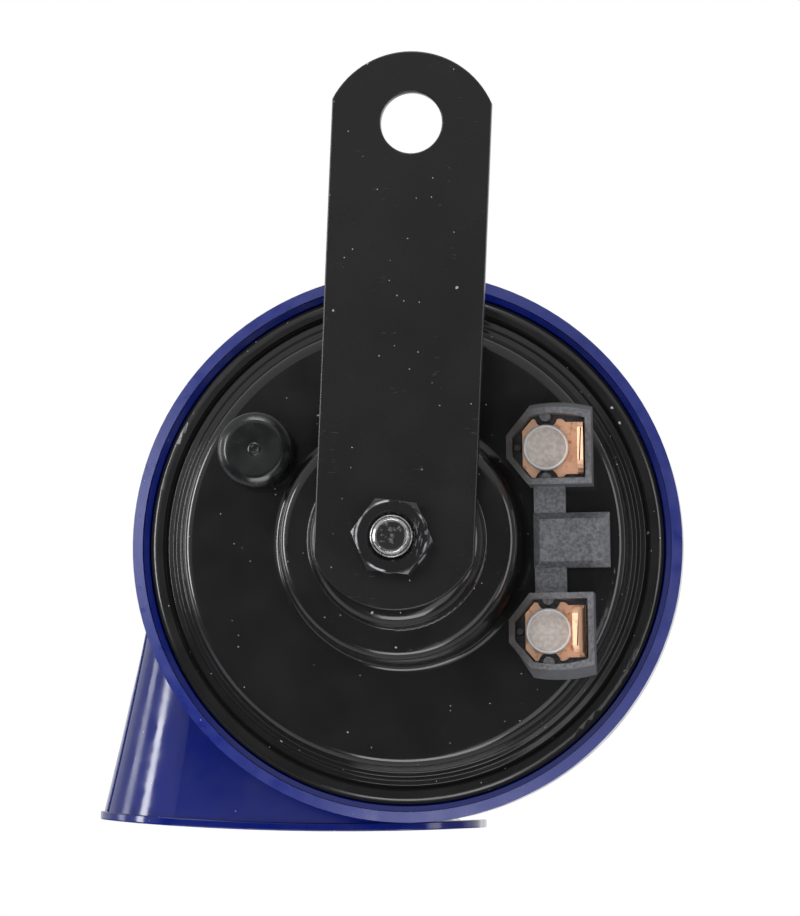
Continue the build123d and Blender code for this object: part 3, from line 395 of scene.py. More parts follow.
def turned_steel():
    """Low-carbon steel, turned and zinc plated; its end face holds dark coating residue."""
    material, tree, place = start_material("turned_zinc_plated_steel")
    radius = from_axis(tree, place)
    end_face = add_node(tree, RANGE, (radius, 2.2 * MM, 2.05 * MM), **SOFT)
    crumbs = add_node(tree, NOISE, (place, grain(0.6), 4.0))
    crumbs = add_node(tree, RANGE, (crumbs, 0.56, 0.72), **SOFT)
    cover = add_node(tree, RANGE, (crumbs, 0.0, 1.0, 1.0, 0.85), **SOFT)
    residue = add_node(tree, MATH, (end_face, cover), operation="MULTIPLY")
    body = add_node(tree, MIX, (residue, linear("#B4B3B3"), linear("#181717")), **COLOURS)
    metal = add_node(tree, RANGE, (residue, 0.0, 1.0, 1.0, 0.0), **SOFT)
    gloss = add_node(tree, RANGE, (residue, 0.0, 1.0, 0.2, 0.3), **SOFT)
    # Tool marks are rings about 0.08 mm apart, drawn at 0.16 mm so that they show.
    turns = add_node(tree, MATH, (radius, 2 * pi * grain(0.16)), operation="MULTIPLY")
    rings = add_node(tree, MATH, (turns,), operation="SINE")
    skin = add_node(tree, BUMP, {"Height": rings, "Distance": 0.001 * MM})
    skin = add_node(tree, BUMP, {"Height": crumbs, "Distance": 0.04 * MM, "Normal": skin})
    inputs = {"Base Color": body, "Metallic": metal, "Roughness": gloss, "Normal": skin}
    return finish_material(material, inputs)


def moulded_nylon(name, colour):
    """Glass-filled nylon: matte, mottled where fibres lie close to the skin, darkened by the boss with
    painted shade and grime.
    """
    material, tree, place = start_material(name)
    mottle = add_node(tree, NOISE, (place, grain(0.5), 6.0, 0.7))
    mottle = add_node(tree, RANGE, (mottle, 0.38, 0.62), **SOFT)
    body = add_node(tree, MIX, (mottle, shade(colour, 0.62), shade(colour, 1.35)), **COLOURS)
    # The sockets' blunt points, close to the boss, are darkened: painted shade, with some grease and dust.
    patches = add_node(tree, NOISE, (place, grain(1.5), 5.0))
    patches = add_node(tree, RANGE, (patches, 0.3, 0.6, 0.85, 1.0), **SOFT)
    for side in ("upper", "lower"):
        low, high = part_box(f"terminal_rivet_{side}")
        point = (low.x - 3.2 * MM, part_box("terminal_block")[0].y, (low.z + high.z) / 2)
        near = near_place(tree, place, point, 10.4 * MM)
        grime_and_painted_shade = add_node(tree, MATH, (near, patches), operation="MULTIPLY")
        body = add_node(tree, MIX, (grime_and_painted_shade, body, linear("#1E1817")), **COLOURS)
    gloss = add_node(tree, RANGE, (mottle, 0.2, 0.8, 0.5, 0.72), **SOFT)
    fibres = add_node(tree, NOISE, (place, grain(0.22), 5.0, 0.7))
    skin = add_node(tree, BUMP, {"Height": fibres, "Distance": 0.03 * MM})
    return finish_material(material, {"Base Color": body, "Roughness": gloss, "Normal": skin})


def glossy_cap_plastic():
    """Polyethylene cap: black, glossy, softly uneven where the moulding shrank."""
    material, tree, place = start_material("black_moulded_polyethylene")
    body, dust = dusted(tree, place, linear("#131415"), 0.3)
    gloss = add_node(tree, NOISE, (place, grain(2), 4.0))
    gloss = add_node(tree, RANGE, (gloss, 0.3, 0.7, 0.18, 0.3), **SOFT)
    sinks = add_node(tree, NOISE, (place, grain(1.4), 2.0))
    skin = add_node(tree, BUMP, {"Height": sinks, "Distance": 0.012 * MM})
    skin = add_node(tree, BUMP, {"Height": dust, "Distance": 0.04 * MM, "Normal": skin})
    return finish_material(material, {"Base Color": body, "Roughness": gloss, "Normal": skin})


def plated_copper(name, colour, tip):
    """Copper plate on brass sheet: warm, satin, tarnished in patches, its tip slit where it folds."""
    material, tree, place = start_material(name)
    tarnish = add_node(tree, NOISE, (place, grain(1.2), 5.0))
    tarnish = add_node(tree, RANGE, (tarnish, 0.52, 0.72), **SOFT)
    body = add_node(tree, MIX, (tarnish, tuple(colour), linear("#C98A62")), **COLOURS)
    # The slit is 0.15 mm wide and 4.7 mm long, on the folded tip alone.
    away = add_node(tree, VECTOR, (place, tip), operation="SUBTRACT")
    away = add_node(tree, VECTOR, (away,), operation="ABSOLUTE")
    away = add_node(tree, SPLIT, (away,)).outputs
    slit = add_node(tree, RANGE, (away["X"], 0.1 * MM, 0.05 * MM), **SOFT)
    length = add_node(tree, RANGE, (away["Z"], 2.5 * MM, 2.2 * MM), **SOFT)
    depth = add_node(tree, RANGE, (away["Y"], 0.3 * MM, 0.2 * MM), **SOFT)
    slit = add_node(tree, MATH, (slit, length), operation="MULTIPLY")
    slit = add_node(tree, MATH, (slit, depth), operation="MULTIPLY")
    body = add_node(tree, MIX, (slit, body, linear("#2A1A14")), **COLOURS)
    gloss = add_node(tree, RANGE, (tarnish, 0.0, 1.0, 0.3, 0.45), **SOFT)
    drawn = add_node(tree, "ShaderNodeMapping", {"Vector": place, "Scale": (1.0, 1.0, 0.08)})
    drawn = add_node(tree, NOISE, (drawn, grain(0.12), 3.0))
    skin = add_node(tree, BUMP, {"Height": drawn, "Distance": 0.006 * MM})
    skin = add_node(tree, BUMP, {"Height": slit, "Distance": -0.1 * MM, "Normal": skin})
    inputs = {"Base Color": body, "Metallic": 0.1, "Roughness": gloss, "Normal": skin}
    return finish_material(material, inputs)


def rivet_metal(colour):
    """Tinned rivet head, set by a flat punch: pale grey, matte, with a pressed and pitted face and a
    painted highlight on its rounded rim.
    """
    material, tree, place = start_material("tinned_rivet")
    facing = add_node(tree, "ShaderNodeTexCoord").outputs["Normal"]
    facing = add_node(tree, SPLIT, (facing,)).outputs["Y"]
    flat = add_node(tree, RANGE, (facing, -0.9, -0.99), **SOFT)
    stain = add_node(tree, NOISE, (place, grain(0.7), 6.0, 0.65))
    stain = add_node(tree, RANGE, (stain, 0.36, 0.62, 0.6, 0.95), **SOFT)
    stain = add_node(tree, MATH, (stain, flat), operation="MULTIPLY")
    face = add_node(tree, MIX, (stain, tuple(colour), linear("#99908B")), **COLOURS)
    # The rounded rim round the flat face is painted paler: a painted highlight.
    body = add_node(tree, MIX, (flat, linear("#E2E6E9"), face), **COLOURS)
    gloss = add_node(tree, RANGE, (stain, 0.0, 1.0, 0.42, 0.58), **SOFT)
    dents = add_node(tree, NOISE, (place, grain(0.8), 4.0, 0.6))
    pits = add_node(tree, NOISE, (place, grain(0.15), 3.0))
    skin = add_node(tree, BUMP, {"Height": dents, "Distance": 0.05 * MM})
    skin = add_node(tree, BUMP, {"Height": pits, "Distance": 0.012 * MM, "Normal": skin})
    inputs = {"Base Color": body, "Metallic": 0.3, "Roughness": gloss, "Normal": skin}
    return finish_material(material, inputs)


def plain_metal(name, colour, roughness, cloud_size):
    """Bare metal of an inner piece: its colour and gloss vary in clouds of a size in millimetres."""
    material, tree, place = start_material(name)
    cloud = add_node(tree, NOISE, (place, grain(cloud_size), 4.0))
    body = add_node(tree, MIX, (cloud, shade(linear(colour), 0.7), linear(colour)), **COLOURS)
    gloss = add_node(tree, RANGE, (cloud, 0.3, 0.7, roughness - 0.06, roughness + 0.08), **SOFT)
    fine = add_node(tree, NOISE, (place, grain(0.2), 2.0))
    skin = add_node(tree, BUMP, {"Height": fine, "Distance": 0.003 * MM})
    inputs = {"Base Color": body, "Metallic": 1.0, "Roughness": gloss, "Normal": skin}
    return finish_material(material, inputs)


def plain_board(name, colour, roughness, fibre):
    """Board, paper, rubber or nylon of an inner piece: matte, its fibres or filler showing."""
    material, tree, place = start_material(name)
    fibres = add_node(tree, NOISE, (place, grain(fibre), 6.0, 0.7))
    body = add_node(tree, MIX, (fibres, shade(linear(colour), 0.6), linear(colour)), **COLOURS)
    skin = add_node(tree, BUMP, {"Height": fibres, "Distance": 0.02 * MM})
    return finish_material(material, {"Base Color": body, "Roughness": roughness, "Normal": skin})


# ---------------------------------------- mesh helpers
def dress(material, *nodes):
    """Give CAD nodes a material."""
    for node in nodes:
        for material_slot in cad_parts[node].material_slots:
            material_slot.material = material


def add_piece(name, mesh, material, slot, *nodes, bend=None):
    """Link a finished mesh that stands for CAD nodes: it rides on the horn, or, given a bend, keeps its
    place baked into its mesh.
    """
    mesh.materials.clear()
    mesh.materials.append(material)
    piece = bpy.data.objects.new(name, mesh)
    bpy.context.scene.collection.objects.link(piece)
    if bend is None:
        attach(piece, BODY)
    if nodes:
        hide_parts(*nodes)
    if bend is not None:
        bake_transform(piece)


def smooth(mesh, corner=35):
    """Shade a mesh smooth, except across corners sharper than an angle."""
    mesh.shade_smooth()
    mesh.set_sharp_from_angle(angle=radians(corner))
    return mesh


def closed_mesh(name, work):
    """Turn a finished bmesh into a mesh that is shaded smooth."""
    bmesh.ops.recalc_face_normals(work, faces=work.faces)
    mesh = bpy.data.meshes.new(name)
    work.to_mesh(mesh)
    work.free()
    return smooth(mesh)


def welded(node):
    """Copy a CAD node as a bmesh whose split vertices are joined."""
    work = bmesh.new()
    work.from_mesh(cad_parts[node].data)
    bmesh.ops.remove_doubles(work, verts=work.verts, dist=SAME_POINT)
    return work


def softened(node, name, width, segments=2, corner=30):
    """Copy a CAD node as one welded mesh whose sharp edges are rounded."""
    work = welded(node)
    bmesh.ops.dissolve_limit(work, angle_limit=SAME_PLANE, verts=work.verts, edges=work.edges)
    sharp = []
    for edge in work.edges:
        if len(edge.link_faces) == 2 and edge.calc_face_angle() > radians(corner):
            sharp.append(edge)
    rounding = bmesh.ops.bevel(
        work, geom=sharp, offset=width, offset_type="OFFSET", segments=segments,
        profile=0.5, affect="EDGES", clamp_overlap=True,
    )
    bands = set(rounding["faces"])
    work.verts.index_update()
    work.normal_update()
    # A face keeps its own shading up to its rim, and only the rounding turns from one to the next.
    normals = []
    for vert in work.verts:
        kept = [face for face in vert.link_faces if face not in bands] or vert.link_faces
        normals.append(sum((face.normal * face.calc_area() for face in kept), Vector()).normalized())
    faces = [[corner_vert.index for corner_vert in face.verts] for face in work.faces]
    mesh = bpy.data.meshes.new(name)
    mesh.from_pydata([vert.co[:] for vert in work.verts], [], faces)
    work.free()
    mesh.shade_smooth()
    mesh.normals_split_custom_set_from_vertices(normals)
    return mesh


def rounded(corners, steps=6):
    """Round an outline of (radius, height, rounding) corners, in millimetres."""
    outline = [corners[0][:2]]
    for before, corner, after in zip(corners, corners[1:], corners[2:]):
        middle, rounding = Vector(corner[:2]), corner[2]
        back = (Vector(before[:2]) - middle).normalized()
        on = (Vector(after[:2]) - middle).normalized()
        if rounding == 0:
            outline.append(middle[:])
            continue
        for step in range(steps + 1):
            share = step / steps
            bend = back * (1 - share) ** 2 + on * share ** 2
            outline.append((middle + rounding * bend)[:])
    outline.append(corners[-1][:2])
    return outline


def turned(name, outline, centre_x, centre_z, steps=96):
    """Turn an outline of (radius, height behind the rim), in millimetres, about a centre."""
    work = bmesh.new()
    rings = []
    for radius, height in outline:
        ring = []
        for step in range(steps if radius > 0 else 1):
            angle = 2 * pi * step / steps
            x = centre_x + radius * MM * cos(angle)
            z = centre_z + radius * MM * sin(angle)
            ring.append(work.verts.new((x, RIM_Y - height * MM, z)))
        rings.append(ring)
    for low, high in zip(rings, rings[1:]):
        for step in range(steps):
            after = (step + 1) % steps
            corners = [low[step % len(low)], low[after % len(low)]]
            corners += [high[after % len(high)], high[step % len(high)]]
            # At the axis two of the four corners are one and the same.
            kept = list(dict.fromkeys(corners))
            if len(kept) > 2:
                work.faces.new(kept)
    return closed_mesh(name, work)


def sector(name, outline, first, last, steps=10):
    """Sweep a closed outline of (radius, depth), in millimetres, from one angle to another."""
    work = bmesh.new()
    rings = []
    for step in range(steps + 1):
        angle = first + (last - first) * step / steps
        ring = []
        for radius, depth in outline:
            x = AXIS_X + radius * MM * cos(angle)
            z = AXIS_Z + radius * MM * sin(angle)
            ring.append(work.verts.new((x, depth * MM, z)))
        rings.append(ring)
    for before, after in zip(rings, rings[1:]):
        for index in range(len(outline)):
            other = (index + 1) % len(outline)
            work.faces.new((before[index], before[other], after[other], after[index]))
    work.faces.new(rings[0])
    work.faces.new(rings[-1])
    return closed_mesh(name, work)


def parting_line():
    """Trace the outer edge where the trumpet's two mouldings meet, but not its lip."""
    low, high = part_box("trumpet_rear")
    lip, tolerance = low.z + 3.0 * MM, 0.01 * MM
    beside, behind = 0.1 * MM, Vector((0, -0.4 * MM, 0))
    work = welded("trumpet_rear")
    work.normal_update()
    shell = BVHTree.FromBMesh(work)
    points, lines = {}, []
    for edge in work.edges:
        walls = [face for face in edge.link_faces if abs(face.normal.y) < 0.5]
        middle = (edge.verts[0].co + edge.verts[1].co) / 2
        level = all(abs(vert.co.y - high.y) < tolerance for vert in edge.verts)
        if not level or len(walls) != 1 or middle.z < lip:
            continue
        # An outer edge sees no other wall when it looks outward.
        outward = walls[0].normal
        if shell.ray_cast(middle + beside * outward + behind, outward)[0] is None:
            lines.append([points.setdefault(vert.co.to_tuple(7), len(points)) for vert in edge.verts])
    work.free()
    mesh = bpy.data.meshes.new("parting_line")
    mesh.from_pydata(list(points), lines, [])
    return mesh


# ---------------------------------------- geometry node helpers
CIRCLE = "GeometryNodeCurvePrimitiveCircle"
SWEEP = "GeometryNodeCurveToMesh"
REALIZE = "GeometryNodeRealizeInstances"


def start_geometry(name, sizes):
    """Begin a geometry node tree with one named length input for each size."""
    tree = bpy.data.node_groups.new(name, "GeometryNodeTree")
    for way in ("INPUT", "OUTPUT"):
        tree.interface.new_socket(name="Geometry", in_out=way, socket_type="NodeSocketGeometry")
    sockets = {}
    for size_name in sizes:
        sockets[size_name] = tree.interface.new_socket(
            name=size_name, in_out="INPUT", socket_type="NodeSocketFloat"
        )
    return tree, add_node(tree, "NodeGroupInput").outputs, sockets


def end_geometry(tree, geometry, material):
    """Close a geometry node tree: real mesh, one material."""
    real = add_node(tree, REALIZE, {"Geometry": geometry})
    painted = add_node(tree, "GeometryNodeSetMaterial", {"Geometry": real, "Material": material})
    add_node(tree, "NodeGroupOutput", {"Geometry": painted})


def grown(name, tree, sockets, sizes, base=None):
    """Run a geometry node tree on a mesh and return the result as a plain mesh."""
    host = bpy.data.objects.new(name + "_host", base or bpy.data.meshes.new(name + "_base"))
    bpy.context.scene.collection.objects.link(host)
    modifier = host.modifiers.new(name, "NODES")
    modifier.node_group = tree
    for size_name, value in sizes.items():
        modifier[sockets[size_name].identifier] = value
    bpy.context.view_layer.update()
    evaluated = host.evaluated_get(bpy.context.evaluated_depsgraph_get())
    mesh = bpy.data.meshes.new_from_object(evaluated)
    mesh.name = name
    host.modifiers.remove(modifier)
    bpy.data.objects.remove(host)
    return mesh


# ---------------------------------------- pieces
class HORN_OT_trumpet(bpy.types.Operator):
    """Finish the trumpet's two mouldings"""

    bl_idname = "horn.trumpet"
    bl_label = "Trumpet"

    def execute(self, context):
        settings = context.scene.horn_trumpet
        plastic = navy_abs(settings)
        dress(plastic, "trumpet_rear", "trumpet_front")
        tree, inputs, sockets = start_geometry("weld_flash", ("Radius",))
        path = add_node(tree, "GeometryNodeMeshToCurve", {"Mesh": inputs["Geometry"]})
        section = add_node(tree, CIRCLE, {"Resolution": 8, "Radius": inputs["Radius"]})
        bead = add_node(tree, SWEEP, {"Curve": path, "Profile Curve": section})
        end_geometry(tree, bead, plastic)
        mesh = grown("weld_flash", tree, sockets, {"Radius": settings.seam_radius}, parting_line())
        add_piece("weld_flash", smooth(mesh, 60), plastic, "trumpet_blue")
        return {"FINISHED"}


class HORN_OT_can(bpy.types.Operator):
    """Finish the pressed can and the crimped front plate"""

    bl_idname = "horn.can"
    bl_label = "Can and crimp"

    def execute(self, context):
        settings = context.scene.horn_drive
        can = black_coat("gloss_black_can", settings, settings.roughness, rust=RUST_PLACES)
        dress(can, "drive_housing")
        crimp = softened("front_plate", "rolled_crimp", settings.crimp_edge)
        coat = black_coat("gloss_black_crimp", settings, settings.roughness + 0.05, chips=CHIP_PLACES)
        add_piece("rolled_crimp", crimp, coat, "coated_steel", "front_plate")
        return {"FINISHED"}


class HORN_OT_strap(bpy.types.Operator):
    """Round the strap's cut edges and finish it"""

    bl_idname = "horn.strap"
    bl_label = "Mounting strap"

    def execute(self, context):
        settings = context.scene.horn_drive
        mesh = softened("mounting_strap", "strap_blank", settings.strap_edge, 3)
        add_piece("strap_blank", mesh, strap_coat(settings), "strap_steel", "mounting_strap")
        return {"FINISHED"}


class HORN_OT_fasteners(bpy.types.Operator):
    """Turn the stud with its core and flange, and round the nut"""

    bl_idname = "horn.fasteners"
    bl_label = "Stud and nut"

    def execute(self, context):
        mesh = softened("strap_nut", "hexagon_nut", 0.09 * MM)
        add_piece("hexagon_nut", mesh, black_zinc(), "nut_steel", "strap_nut")
        # Radii, then heights behind the rim, in millimetres.
        core, flange, stud = 6.6, 9.4, 3.0
        core_end, flange_front, flange_back = 8.6, 16.0, 18.0
        tip = (RIM_Y - STUD_LOW.y) / MM
        outline = rounded([
            (0, core_end, 0), (core, core_end, 0.2), (core, flange_front, 0),
            (flange, flange_front, 0.1), (flange, flange_back, 0.1), (stud, flange_back, 0),
            (stud, tip - 0.8, 0.1), (stud - 0.18, tip - 0.62, 0.05), (stud - 0.24, tip - 0.72, 0.05),
            (stud - 0.42, tip - 0.3, 0.1), (stud - 0.75, tip, 0.12), (stud - 0.95, tip - 0.02, 0.08),
            (stud - 1.05, tip - 0.12, 0.1), (0, tip - 0.1, 0),
        ])
        mesh = turned("turned_stud", outline, AXIS_X, AXIS_Z)
        add_piece("turned_stud", mesh, turned_steel(), "stud_steel", "core_stud")
        return {"FINISHED"}


class HORN_OT_terminals(bpy.types.Operator):
    """Finish the terminal block, its blades and its rivets"""

    bl_idname = "horn.terminals"
    bl_label = "Terminals"

    def execute(self, context):
        settings = context.scene.horn_terminals
        block = softened("terminal_block", "moulded_block", settings.block_edge)
        nylon = moulded_nylon("grey_glass_filled_nylon", settings.block)
        add_piece("moulded_block", block, nylon, "block_plastic", "terminal_block")
        metal = rivet_metal(settings.rivet)
        for side in ("upper", "lower"):
            blade = softened(f"terminal_{side}", f"spade_{side}", settings.metal_edge)
            end = min(vertex.co.y for vertex in blade.vertices)
            tip = [vertex.co for vertex in blade.vertices if vertex.co.y < end + 0.05 * MM]
            tip = sum(tip, Vector()) / len(tip)
            copper = plated_copper(f"copper_plated_sheet_{side}", settings.copper, tip)
            add_piece(f"spade_{side}", blade, copper, "terminal_copper", f"terminal_{side}")
            head = softened(f"terminal_rivet_{side}", f"rivet_{side}", 0.65 * MM, 6)
            add_piece(f"rivet_{side}", head, metal, "rivet_metal", f"terminal_rivet_{side}")
        return {"FINISHED"}


class HORN_OT_cap(bpy.types.Operator):
    """Finish the sealing cap over the adjuster"""

    bl_idname = "horn.cap"
    bl_label = "Sealing cap"

    def execute(self, context):
        # Heights behind the rim and the radius of the cap's wall, in millimetres.
        low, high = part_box("adjuster_cap")
        foot, top = (RIM_Y - high.y) / MM, (RIM_Y - low.y) / MM
        wide = (high.x - low.x) / 2 / MM
        outline = rounded([
            (wide - 1.0, foot, 0), (wide, foot, 0.05), (wide - 0.05, top - 1.0, 0.35),
            (wide - 0.55, top - 0.5, 0.3), (wide - 1.35, top, 0.35), (1.2, top - 0.12, 0.2),
            (0.95, top - 0.16, 0.12), (0.7, top - 0.02, 0.15), (0.4, top - 0.14, 0.1), (0, top - 0.16, 0),
        ])
        mesh = turned("dished_cap", outline, (low.x + high.x) / 2, (low.z + high.z) / 2)
        add_piece("dished_cap", mesh, glossy_cap_plastic(), "cap_plastic", "adjuster_cap")
        return {"FINISHED"}


def wind_coil(settings):
    """Wind the coil: rows of round wire, drawn as closed turns, swept round the drive's axis."""
    low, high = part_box("coil_winding")
    sizes = {
        "Inner radius": settings.inner,
        "Outer radius": (high.x - low.x) / 2,
        "Length": high.y - low.y,
        "Wire": settings.wire,
    }
    tree, inputs, sockets = start_geometry("coil_turns", sizes)
    inner, outer, length, wire = (inputs[size_name] for size_name in sizes)
    width = add_node(tree, MATH, (outer, inner), operation="SUBTRACT")
    both = add_node(tree, MATH, (outer, inner), operation="ADD")
    middle = add_node(tree, MATH, (both, 0.5), operation="MULTIPLY")
    columns = add_node(tree, MATH, (width, wire), operation="DIVIDE")
    rows = add_node(tree, MATH, (length, wire), operation="DIVIDE")
    grid = add_node(tree, "GeometryNodeMeshGrid", {
        "Size X": add_node(tree, MATH, (width, wire), operation="SUBTRACT"),
        "Size Y": add_node(tree, MATH, (length, wire), operation="SUBTRACT"),
        "Vertices X": add_node(tree, MATH, (columns,), operation="FLOOR"),
        "Vertices Y": add_node(tree, MATH, (rows,), operation="FLOOR"),
    })
    half_wire = add_node(tree, MATH, (wire, 0.5), operation="MULTIPLY")
    strand = add_node(tree, CIRCLE, {"Resolution": 6, "Radius": half_wire})
    strands = add_node(tree, "GeometryNodeInstanceOnPoints", {"Points": grid, "Instance": strand})
    strands = add_node(tree, REALIZE, {"Geometry": strands})
    turn = add_node(tree, CIRCLE, {"Resolution": 48, "Radius": middle})
    turns = add_node(tree, SWEEP, {"Curve": turn, "Profile Curve": strands})
    placed = add_node(tree, "GeometryNodeTransform", {
        "Geometry": turns,
        "Translation": (AXIS_X, (low.y + high.y) / 2, AXIS_Z),
        "Rotation": (radians(90), 0.0, 0.0),
    })
    enamel = plain_metal("enamelled_winding_wire", "#B5622B", 0.28, 0.5)
    end_geometry(tree, placed, enamel)
    mesh = grown("coil_turns", tree, sockets, sizes)
    add_piece("coil_turns", smooth(mesh, 70), enamel, "winding_copper", "coil_winding")


def flex_diaphragm(steel):
    """Make the diaphragm in twelve sectors, each given the line from its clamp to its washers."""
    low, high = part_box("diaphragm")
    sectors = 12
    # The sheet's thickness, and the radii of the clamp and of the washers, in millimetres.
    thickness, clamp, washers = 0.3, 31.8, 10.6
    front, outer = low.y / MM, (high.x - low.x) / 2 / MM
    # One ring-shaped wave stands out of the flat sheet, and many radii within it let the sheet bend.
    wave, half_wave, rise = 28.5, 1.5, high.y / MM - front - thickness
    line = [(outer, 0.0), (32.9, 0.0), (wave + half_wave, 0.0), (wave, rise), (wave - half_wave, 0.0)]
    line += [(radius, 0.0) for radius in (24.0, 21.5, 19.0, 16.5, 14.0, 12.5, 11.0, 9.0, 2.6)]
    outline = [(radius, front + lift) for radius, lift in line]
    outline += [(radius, front + lift + thickness) for radius, lift in reversed(line)]
    centre = Vector((AXIS_X, low.y, AXIS_Z))
    for number in range(sectors):
        first, last = 2 * pi * number / sectors, 2 * pi * (number + 1) / sectors
        middle = (first + last) / 2
        out = Vector((cos(middle), 0.0, sin(middle)))
        bend = (centre + clamp * MM * out, centre + washers * MM * out)
        name = f"diaphragm_sector_{number + 1:02d}"
        mesh = sector(name, outline, first, last)
        add_piece(name, mesh, steel, "spring_steel", "diaphragm", bend=bend)


class HORN_OT_inside(bpy.types.Operator):
    """Finish the magnet, the diaphragm and the contact breaker"""

    bl_idname = "horn.inside"
    bl_label = "Inner pieces"

    def execute(self, context):
        iron = plain_metal("annealed_iron", "#8E8C8A", 0.42, 3)
        dress(iron, "yoke_plate", "armature", "diaphragm_washer_rear", "diaphragm_washer_front",
              "armature_nut", "breaker_carrier", "adjusting_screw")
        flex_diaphragm(plain_metal("rolled_spring_steel", "#B4B3B0", 0.3, 6))
        brass = plain_metal("rolled_brass", "#C6A25C", 0.32, 4)
        dress(brass, "fixed_contact_arm", "breaker_rivets", "adjuster_bush", "solder_tags")
        # The contact spring's tongue lies under the armature's collar and moves with it.
        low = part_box("moving_contact_spring")[0]
        root, tongue = low.x + 5.5 * MM, low.x + 10.5 * MM
        bend = ((root, low.y, AXIS_Z), (tongue, low.y, AXIS_Z))
        spring = softened("moving_contact_spring", "contact_spring", 0.03 * MM)
        add_piece("contact_spring", spring, brass, "contact_brass", "moving_contact_spring", bend=bend)
        tungsten = plain_metal("sintered_tungsten", "#9FA2A6", 0.5, 0.3)
        dress(tungsten, "moving_contact_point", "fixed_contact_point")
        wind_coil(context.scene.horn_coil)
        dress(plain_board("natural_nylon", "#DAD6C4", 0.45, 2), "coil_bobbin", "contact_collar")
        phenolic = plain_board("phenolic_board", "#6A4426", 0.5, 0.8)
        dress(phenolic, "breaker_base", "breaker_spacer", "inner_insulators")
        dress(plain_board("gasket_paper", "#8A7455", 0.9, 0.4), "rear_gasket", "front_gasket")
        dress(plain_board("moulded_rubber", "#1C1C1C", 0.7, 1), "trumpet_seal")
        return {"FINISHED"}


# ---------------------------------------- stage
# The camera's place in metres and its angles in degrees.
CAMERA_PLACE = (0.057586, -0.686232, -0.093537)
CAMERA_AZIMUTH = 4.774
CAMERA_ELEVATION = -3.849
CAMERA_ROLL = 2.302
# The soft light that matte surfaces get from all sides.
WORLD_LEVEL = 0.22
WHITE = "#FFFFFF"
# Each lamp's name, place, width and height in metres, and power in watts.
LAMPS = (
    ("left_strip", (-0.92, -0.6, 0.05), 0.2, 0.6, 6.0),
    ("left_softbox", (-1.0, 0.0, -0.03), 0.2, 0.6, 1.8),
    ("low_softbox", (0.03, -0.3, -0.45), 0.3, 0.2, 1.1),
    ("right_softbox", (0.85, -0.55, -0.05), 0.35, 0.9, 3.4),
    ("top_softbox", (-0.1, -0.6, 1.0), 0.6, 0.25, 4.5),
    ("front_softbox", (0.32, -0.8, -0.45), 0.5, 0.5, 1.3),
)


def aim_camera(lens):
    """Stand the camera behind the horn, a little to the right and below."""
    camera = bpy.data.objects.new("camera", bpy.data.cameras.new("camera"))
    azimuth, elevation = radians(CAMERA_AZIMUTH), radians(CAMERA_ELEVATION)
    back = Vector((sin(azimuth) * cos(elevation), -cos(azimuth) * cos(elevation), sin(elevation)))
    right = Vector((0, 0, 1)).cross(back).normalized()
    up = back.cross(right)
    turn = Matrix((right, up, back)).transposed() @ Matrix.Rotation(radians(CAMERA_ROLL), 3, "Z")
    camera.matrix_world = Matrix.Translation(CAMERA_PLACE) @ turn.to_4x4()
    camera.data.lens = lens
    camera.data.clip_start = 0.05
    camera.data.clip_end = 20
    bpy.context.scene.collection.objects.link(camera)
    bpy.context.scene.camera = camera


def add_lamp(name, place, width, height, power):
    """Hang a soft rectangular lamp that looks at the middle of the drive."""
    lamp = bpy.data.lights.new(name, "AREA")
    lamp.shape = "RECTANGLE"
    lamp.size = width
    lamp.size_y = height
    lamp.energy = power
    holder = bpy.data.objects.new(name, lamp)
    direction = Vector((AXIS_X, RIM_Y, AXIS_Z)) - Vector(place)
    turn = direction.to_track_quat("-Z", "Y").to_matrix()
    holder.matrix_world = Matrix.Translation(place) @ turn.to_4x4()
    holder.visible_camera = False
    bpy.context.scene.collection.objects.link(holder)


def light_world():
    """White for the eye and pale in reflections, but for the unlit room round the camera."""
    world = bpy.data.worlds.new("studio")
    bpy.context.scene.world = world
    world.use_nodes = True
    tree = world.node_tree
    tree.nodes.clear()
    direction = add_node(tree, "ShaderNodeTexCoord").outputs["Generated"]
    axes = add_node(tree, SPLIT, (direction,)).outputs
    # The wall above and left of the camera is dimly lit, the table's edge below it is dark.
    glow = add_node(tree, VECTOR, (direction, (-0.4, 0.0, 0.9)), operation="DOT_PRODUCT")
    glow = add_node(tree, RANGE, (glow, 0.1, 0.21, 0.02, 0.72), **SOFT)
    sides = add_node(tree, RANGE, (axes["Y"], -0.68, -0.4, 0.02, 0.35), **SOFT)
    table = add_node(tree, RANGE, (axes["Z"], -0.45, -0.1, 0.1, 1.0), **SOFT)
    sides = add_node(tree, MATH, (sides, table), operation="MULTIPLY")
    behind = add_node(tree, RANGE, (axes["Y"], 0.1, 0.5), **SOFT)
    room = add_node(tree, MATH, (glow, sides), operation="MAXIMUM")
    room = add_node(tree, MATH, (room, behind), operation="MAXIMUM")
    # Soft light from in front reaches down into the terminals' sockets.
    front = add_node(tree, RANGE, (axes["Y"], -0.8, -1.0, WORLD_LEVEL, 2.4), **SOFT)
    # The room is for rays that show the surroundings in metal, gloss or glass.
    rays = add_node(tree, "ShaderNodeLightPath").outputs
    mirrored = (rays["Is Glossy Ray"], rays["Is Transmission Ray"])
    mirrored = add_node(tree, MATH, mirrored, operation="MAXIMUM")
    level = add_node(tree, MIX, (mirrored, front, room))
    level = add_node(tree, MATH, (level, rays["Is Camera Ray"]), operation="MAXIMUM")
    light = add_node(tree, "ShaderNodeBackground", {"Color": linear(WHITE), "Strength": level})
    add_node(tree, "ShaderNodeOutputWorld", {"Surface": light})


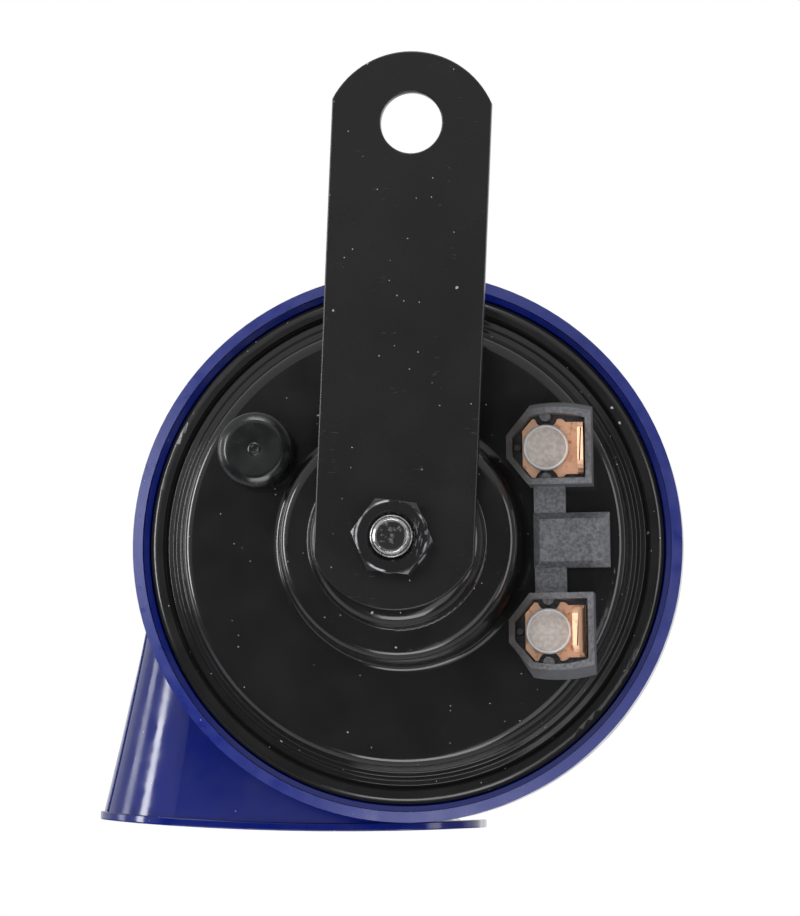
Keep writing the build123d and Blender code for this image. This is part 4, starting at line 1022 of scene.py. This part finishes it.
def lay_floor(drop):
    """Lay a wide pale floor below the hanging horn, paler still to the camera."""
    side, front_edge = 4.0, -0.15
    level = CAD_BOX[0].z - drop
    mesh = bpy.data.meshes.new("floor")
    corners = [(-side, front_edge), (side, front_edge), (side, side), (-side, side)]
    mesh.from_pydata([(x, y, level) for x, y in corners], [], [(0, 1, 2, 3)])
    floor = bpy.data.objects.new("floor", mesh)
    bpy.context.scene.collection.objects.link(floor)
    material, tree, place = start_material("pale_floor")
    grey = add_node(tree, NOISE, (place, grain(300)))
    grey = add_node(tree, MIX, (grey, linear("#E4E4E4"), linear("#EAEAEA")), **COLOURS)
    seen = add_node(tree, "ShaderNodeLightPath").outputs["Is Camera Ray"]
    colour = add_node(tree, MIX, (seen, grey, linear(WHITE)), **COLOURS)
    lit = add_node(tree, MATH, (seen, 0.6), operation="MULTIPLY")
    mesh.materials.append(finish_material(material, {
        "Base Color": colour, "Roughness": 0.9,
        "Emission Color": linear(WHITE), "Emission Strength": lit,
    }))


class HORN_OT_stage(bpy.types.Operator):
    """Lay the floor, hang the lamps and aim the camera"""

    bl_idname = "horn.stage"
    bl_label = "Stage"

    def execute(self, context):
        settings = context.scene.horn_stage
        context.scene.view_settings.view_transform = "Standard"
        lay_floor(settings.drop)
        light_world()
        for lamp in LAMPS:
            add_lamp(*lamp)
        aim_camera(settings.lens)
        return {"FINISHED"}


class HORN_PT_finisher(bpy.types.Panel):
    """Lists the steps that finish the horn"""

    bl_idname = "HORN_PT_finisher"
    bl_label = "Car horn"
    bl_space_type = "VIEW_3D"
    bl_region_type = "UI"
    bl_category = "Horn"

    def draw(self, context):
        column = self.layout.column(align=True)
        for operator in OPERATORS:
            column.operator(operator.bl_idname)


SETTINGS = {
    "horn_trumpet": HornTrumpetSettings,
    "horn_drive": HornDriveSettings,
    "horn_terminals": HornTerminalSettings,
    "horn_coil": HornCoilSettings,
    "horn_stage": HornStageSettings,
}
OPERATORS = (
    HORN_OT_trumpet,
    HORN_OT_can,
    HORN_OT_strap,
    HORN_OT_fasteners,
    HORN_OT_terminals,
    HORN_OT_cap,
    HORN_OT_inside,
    HORN_OT_stage,
)


def register():
    """Register the settings, the operators and the panel."""
    for name, group in SETTINGS.items():
        bpy.utils.register_class(group)
        setattr(bpy.types.Scene, name, bpy.props.PointerProperty(type=group))
    for operator in OPERATORS:
        bpy.utils.register_class(operator)
    bpy.utils.register_class(HORN_PT_finisher)


def unregister():
    """Remove what register added."""
    bpy.utils.unregister_class(HORN_PT_finisher)
    for operator in reversed(OPERATORS):
        bpy.utils.unregister_class(operator)
    for name, group in reversed(list(SETTINGS.items())):
        delattr(bpy.types.Scene, name)
        bpy.utils.unregister_class(group)


def main():
    """Finish the horn step by step."""
    register()
    for operator in OPERATORS:
        group, step = operator.bl_idname.split(".")
        if getattr(getattr(bpy.ops, group), step)() != {"FINISHED"}:
            raise RuntimeError(f"{operator.bl_label} did not finish")


if __name__ == "__main__":
    main()
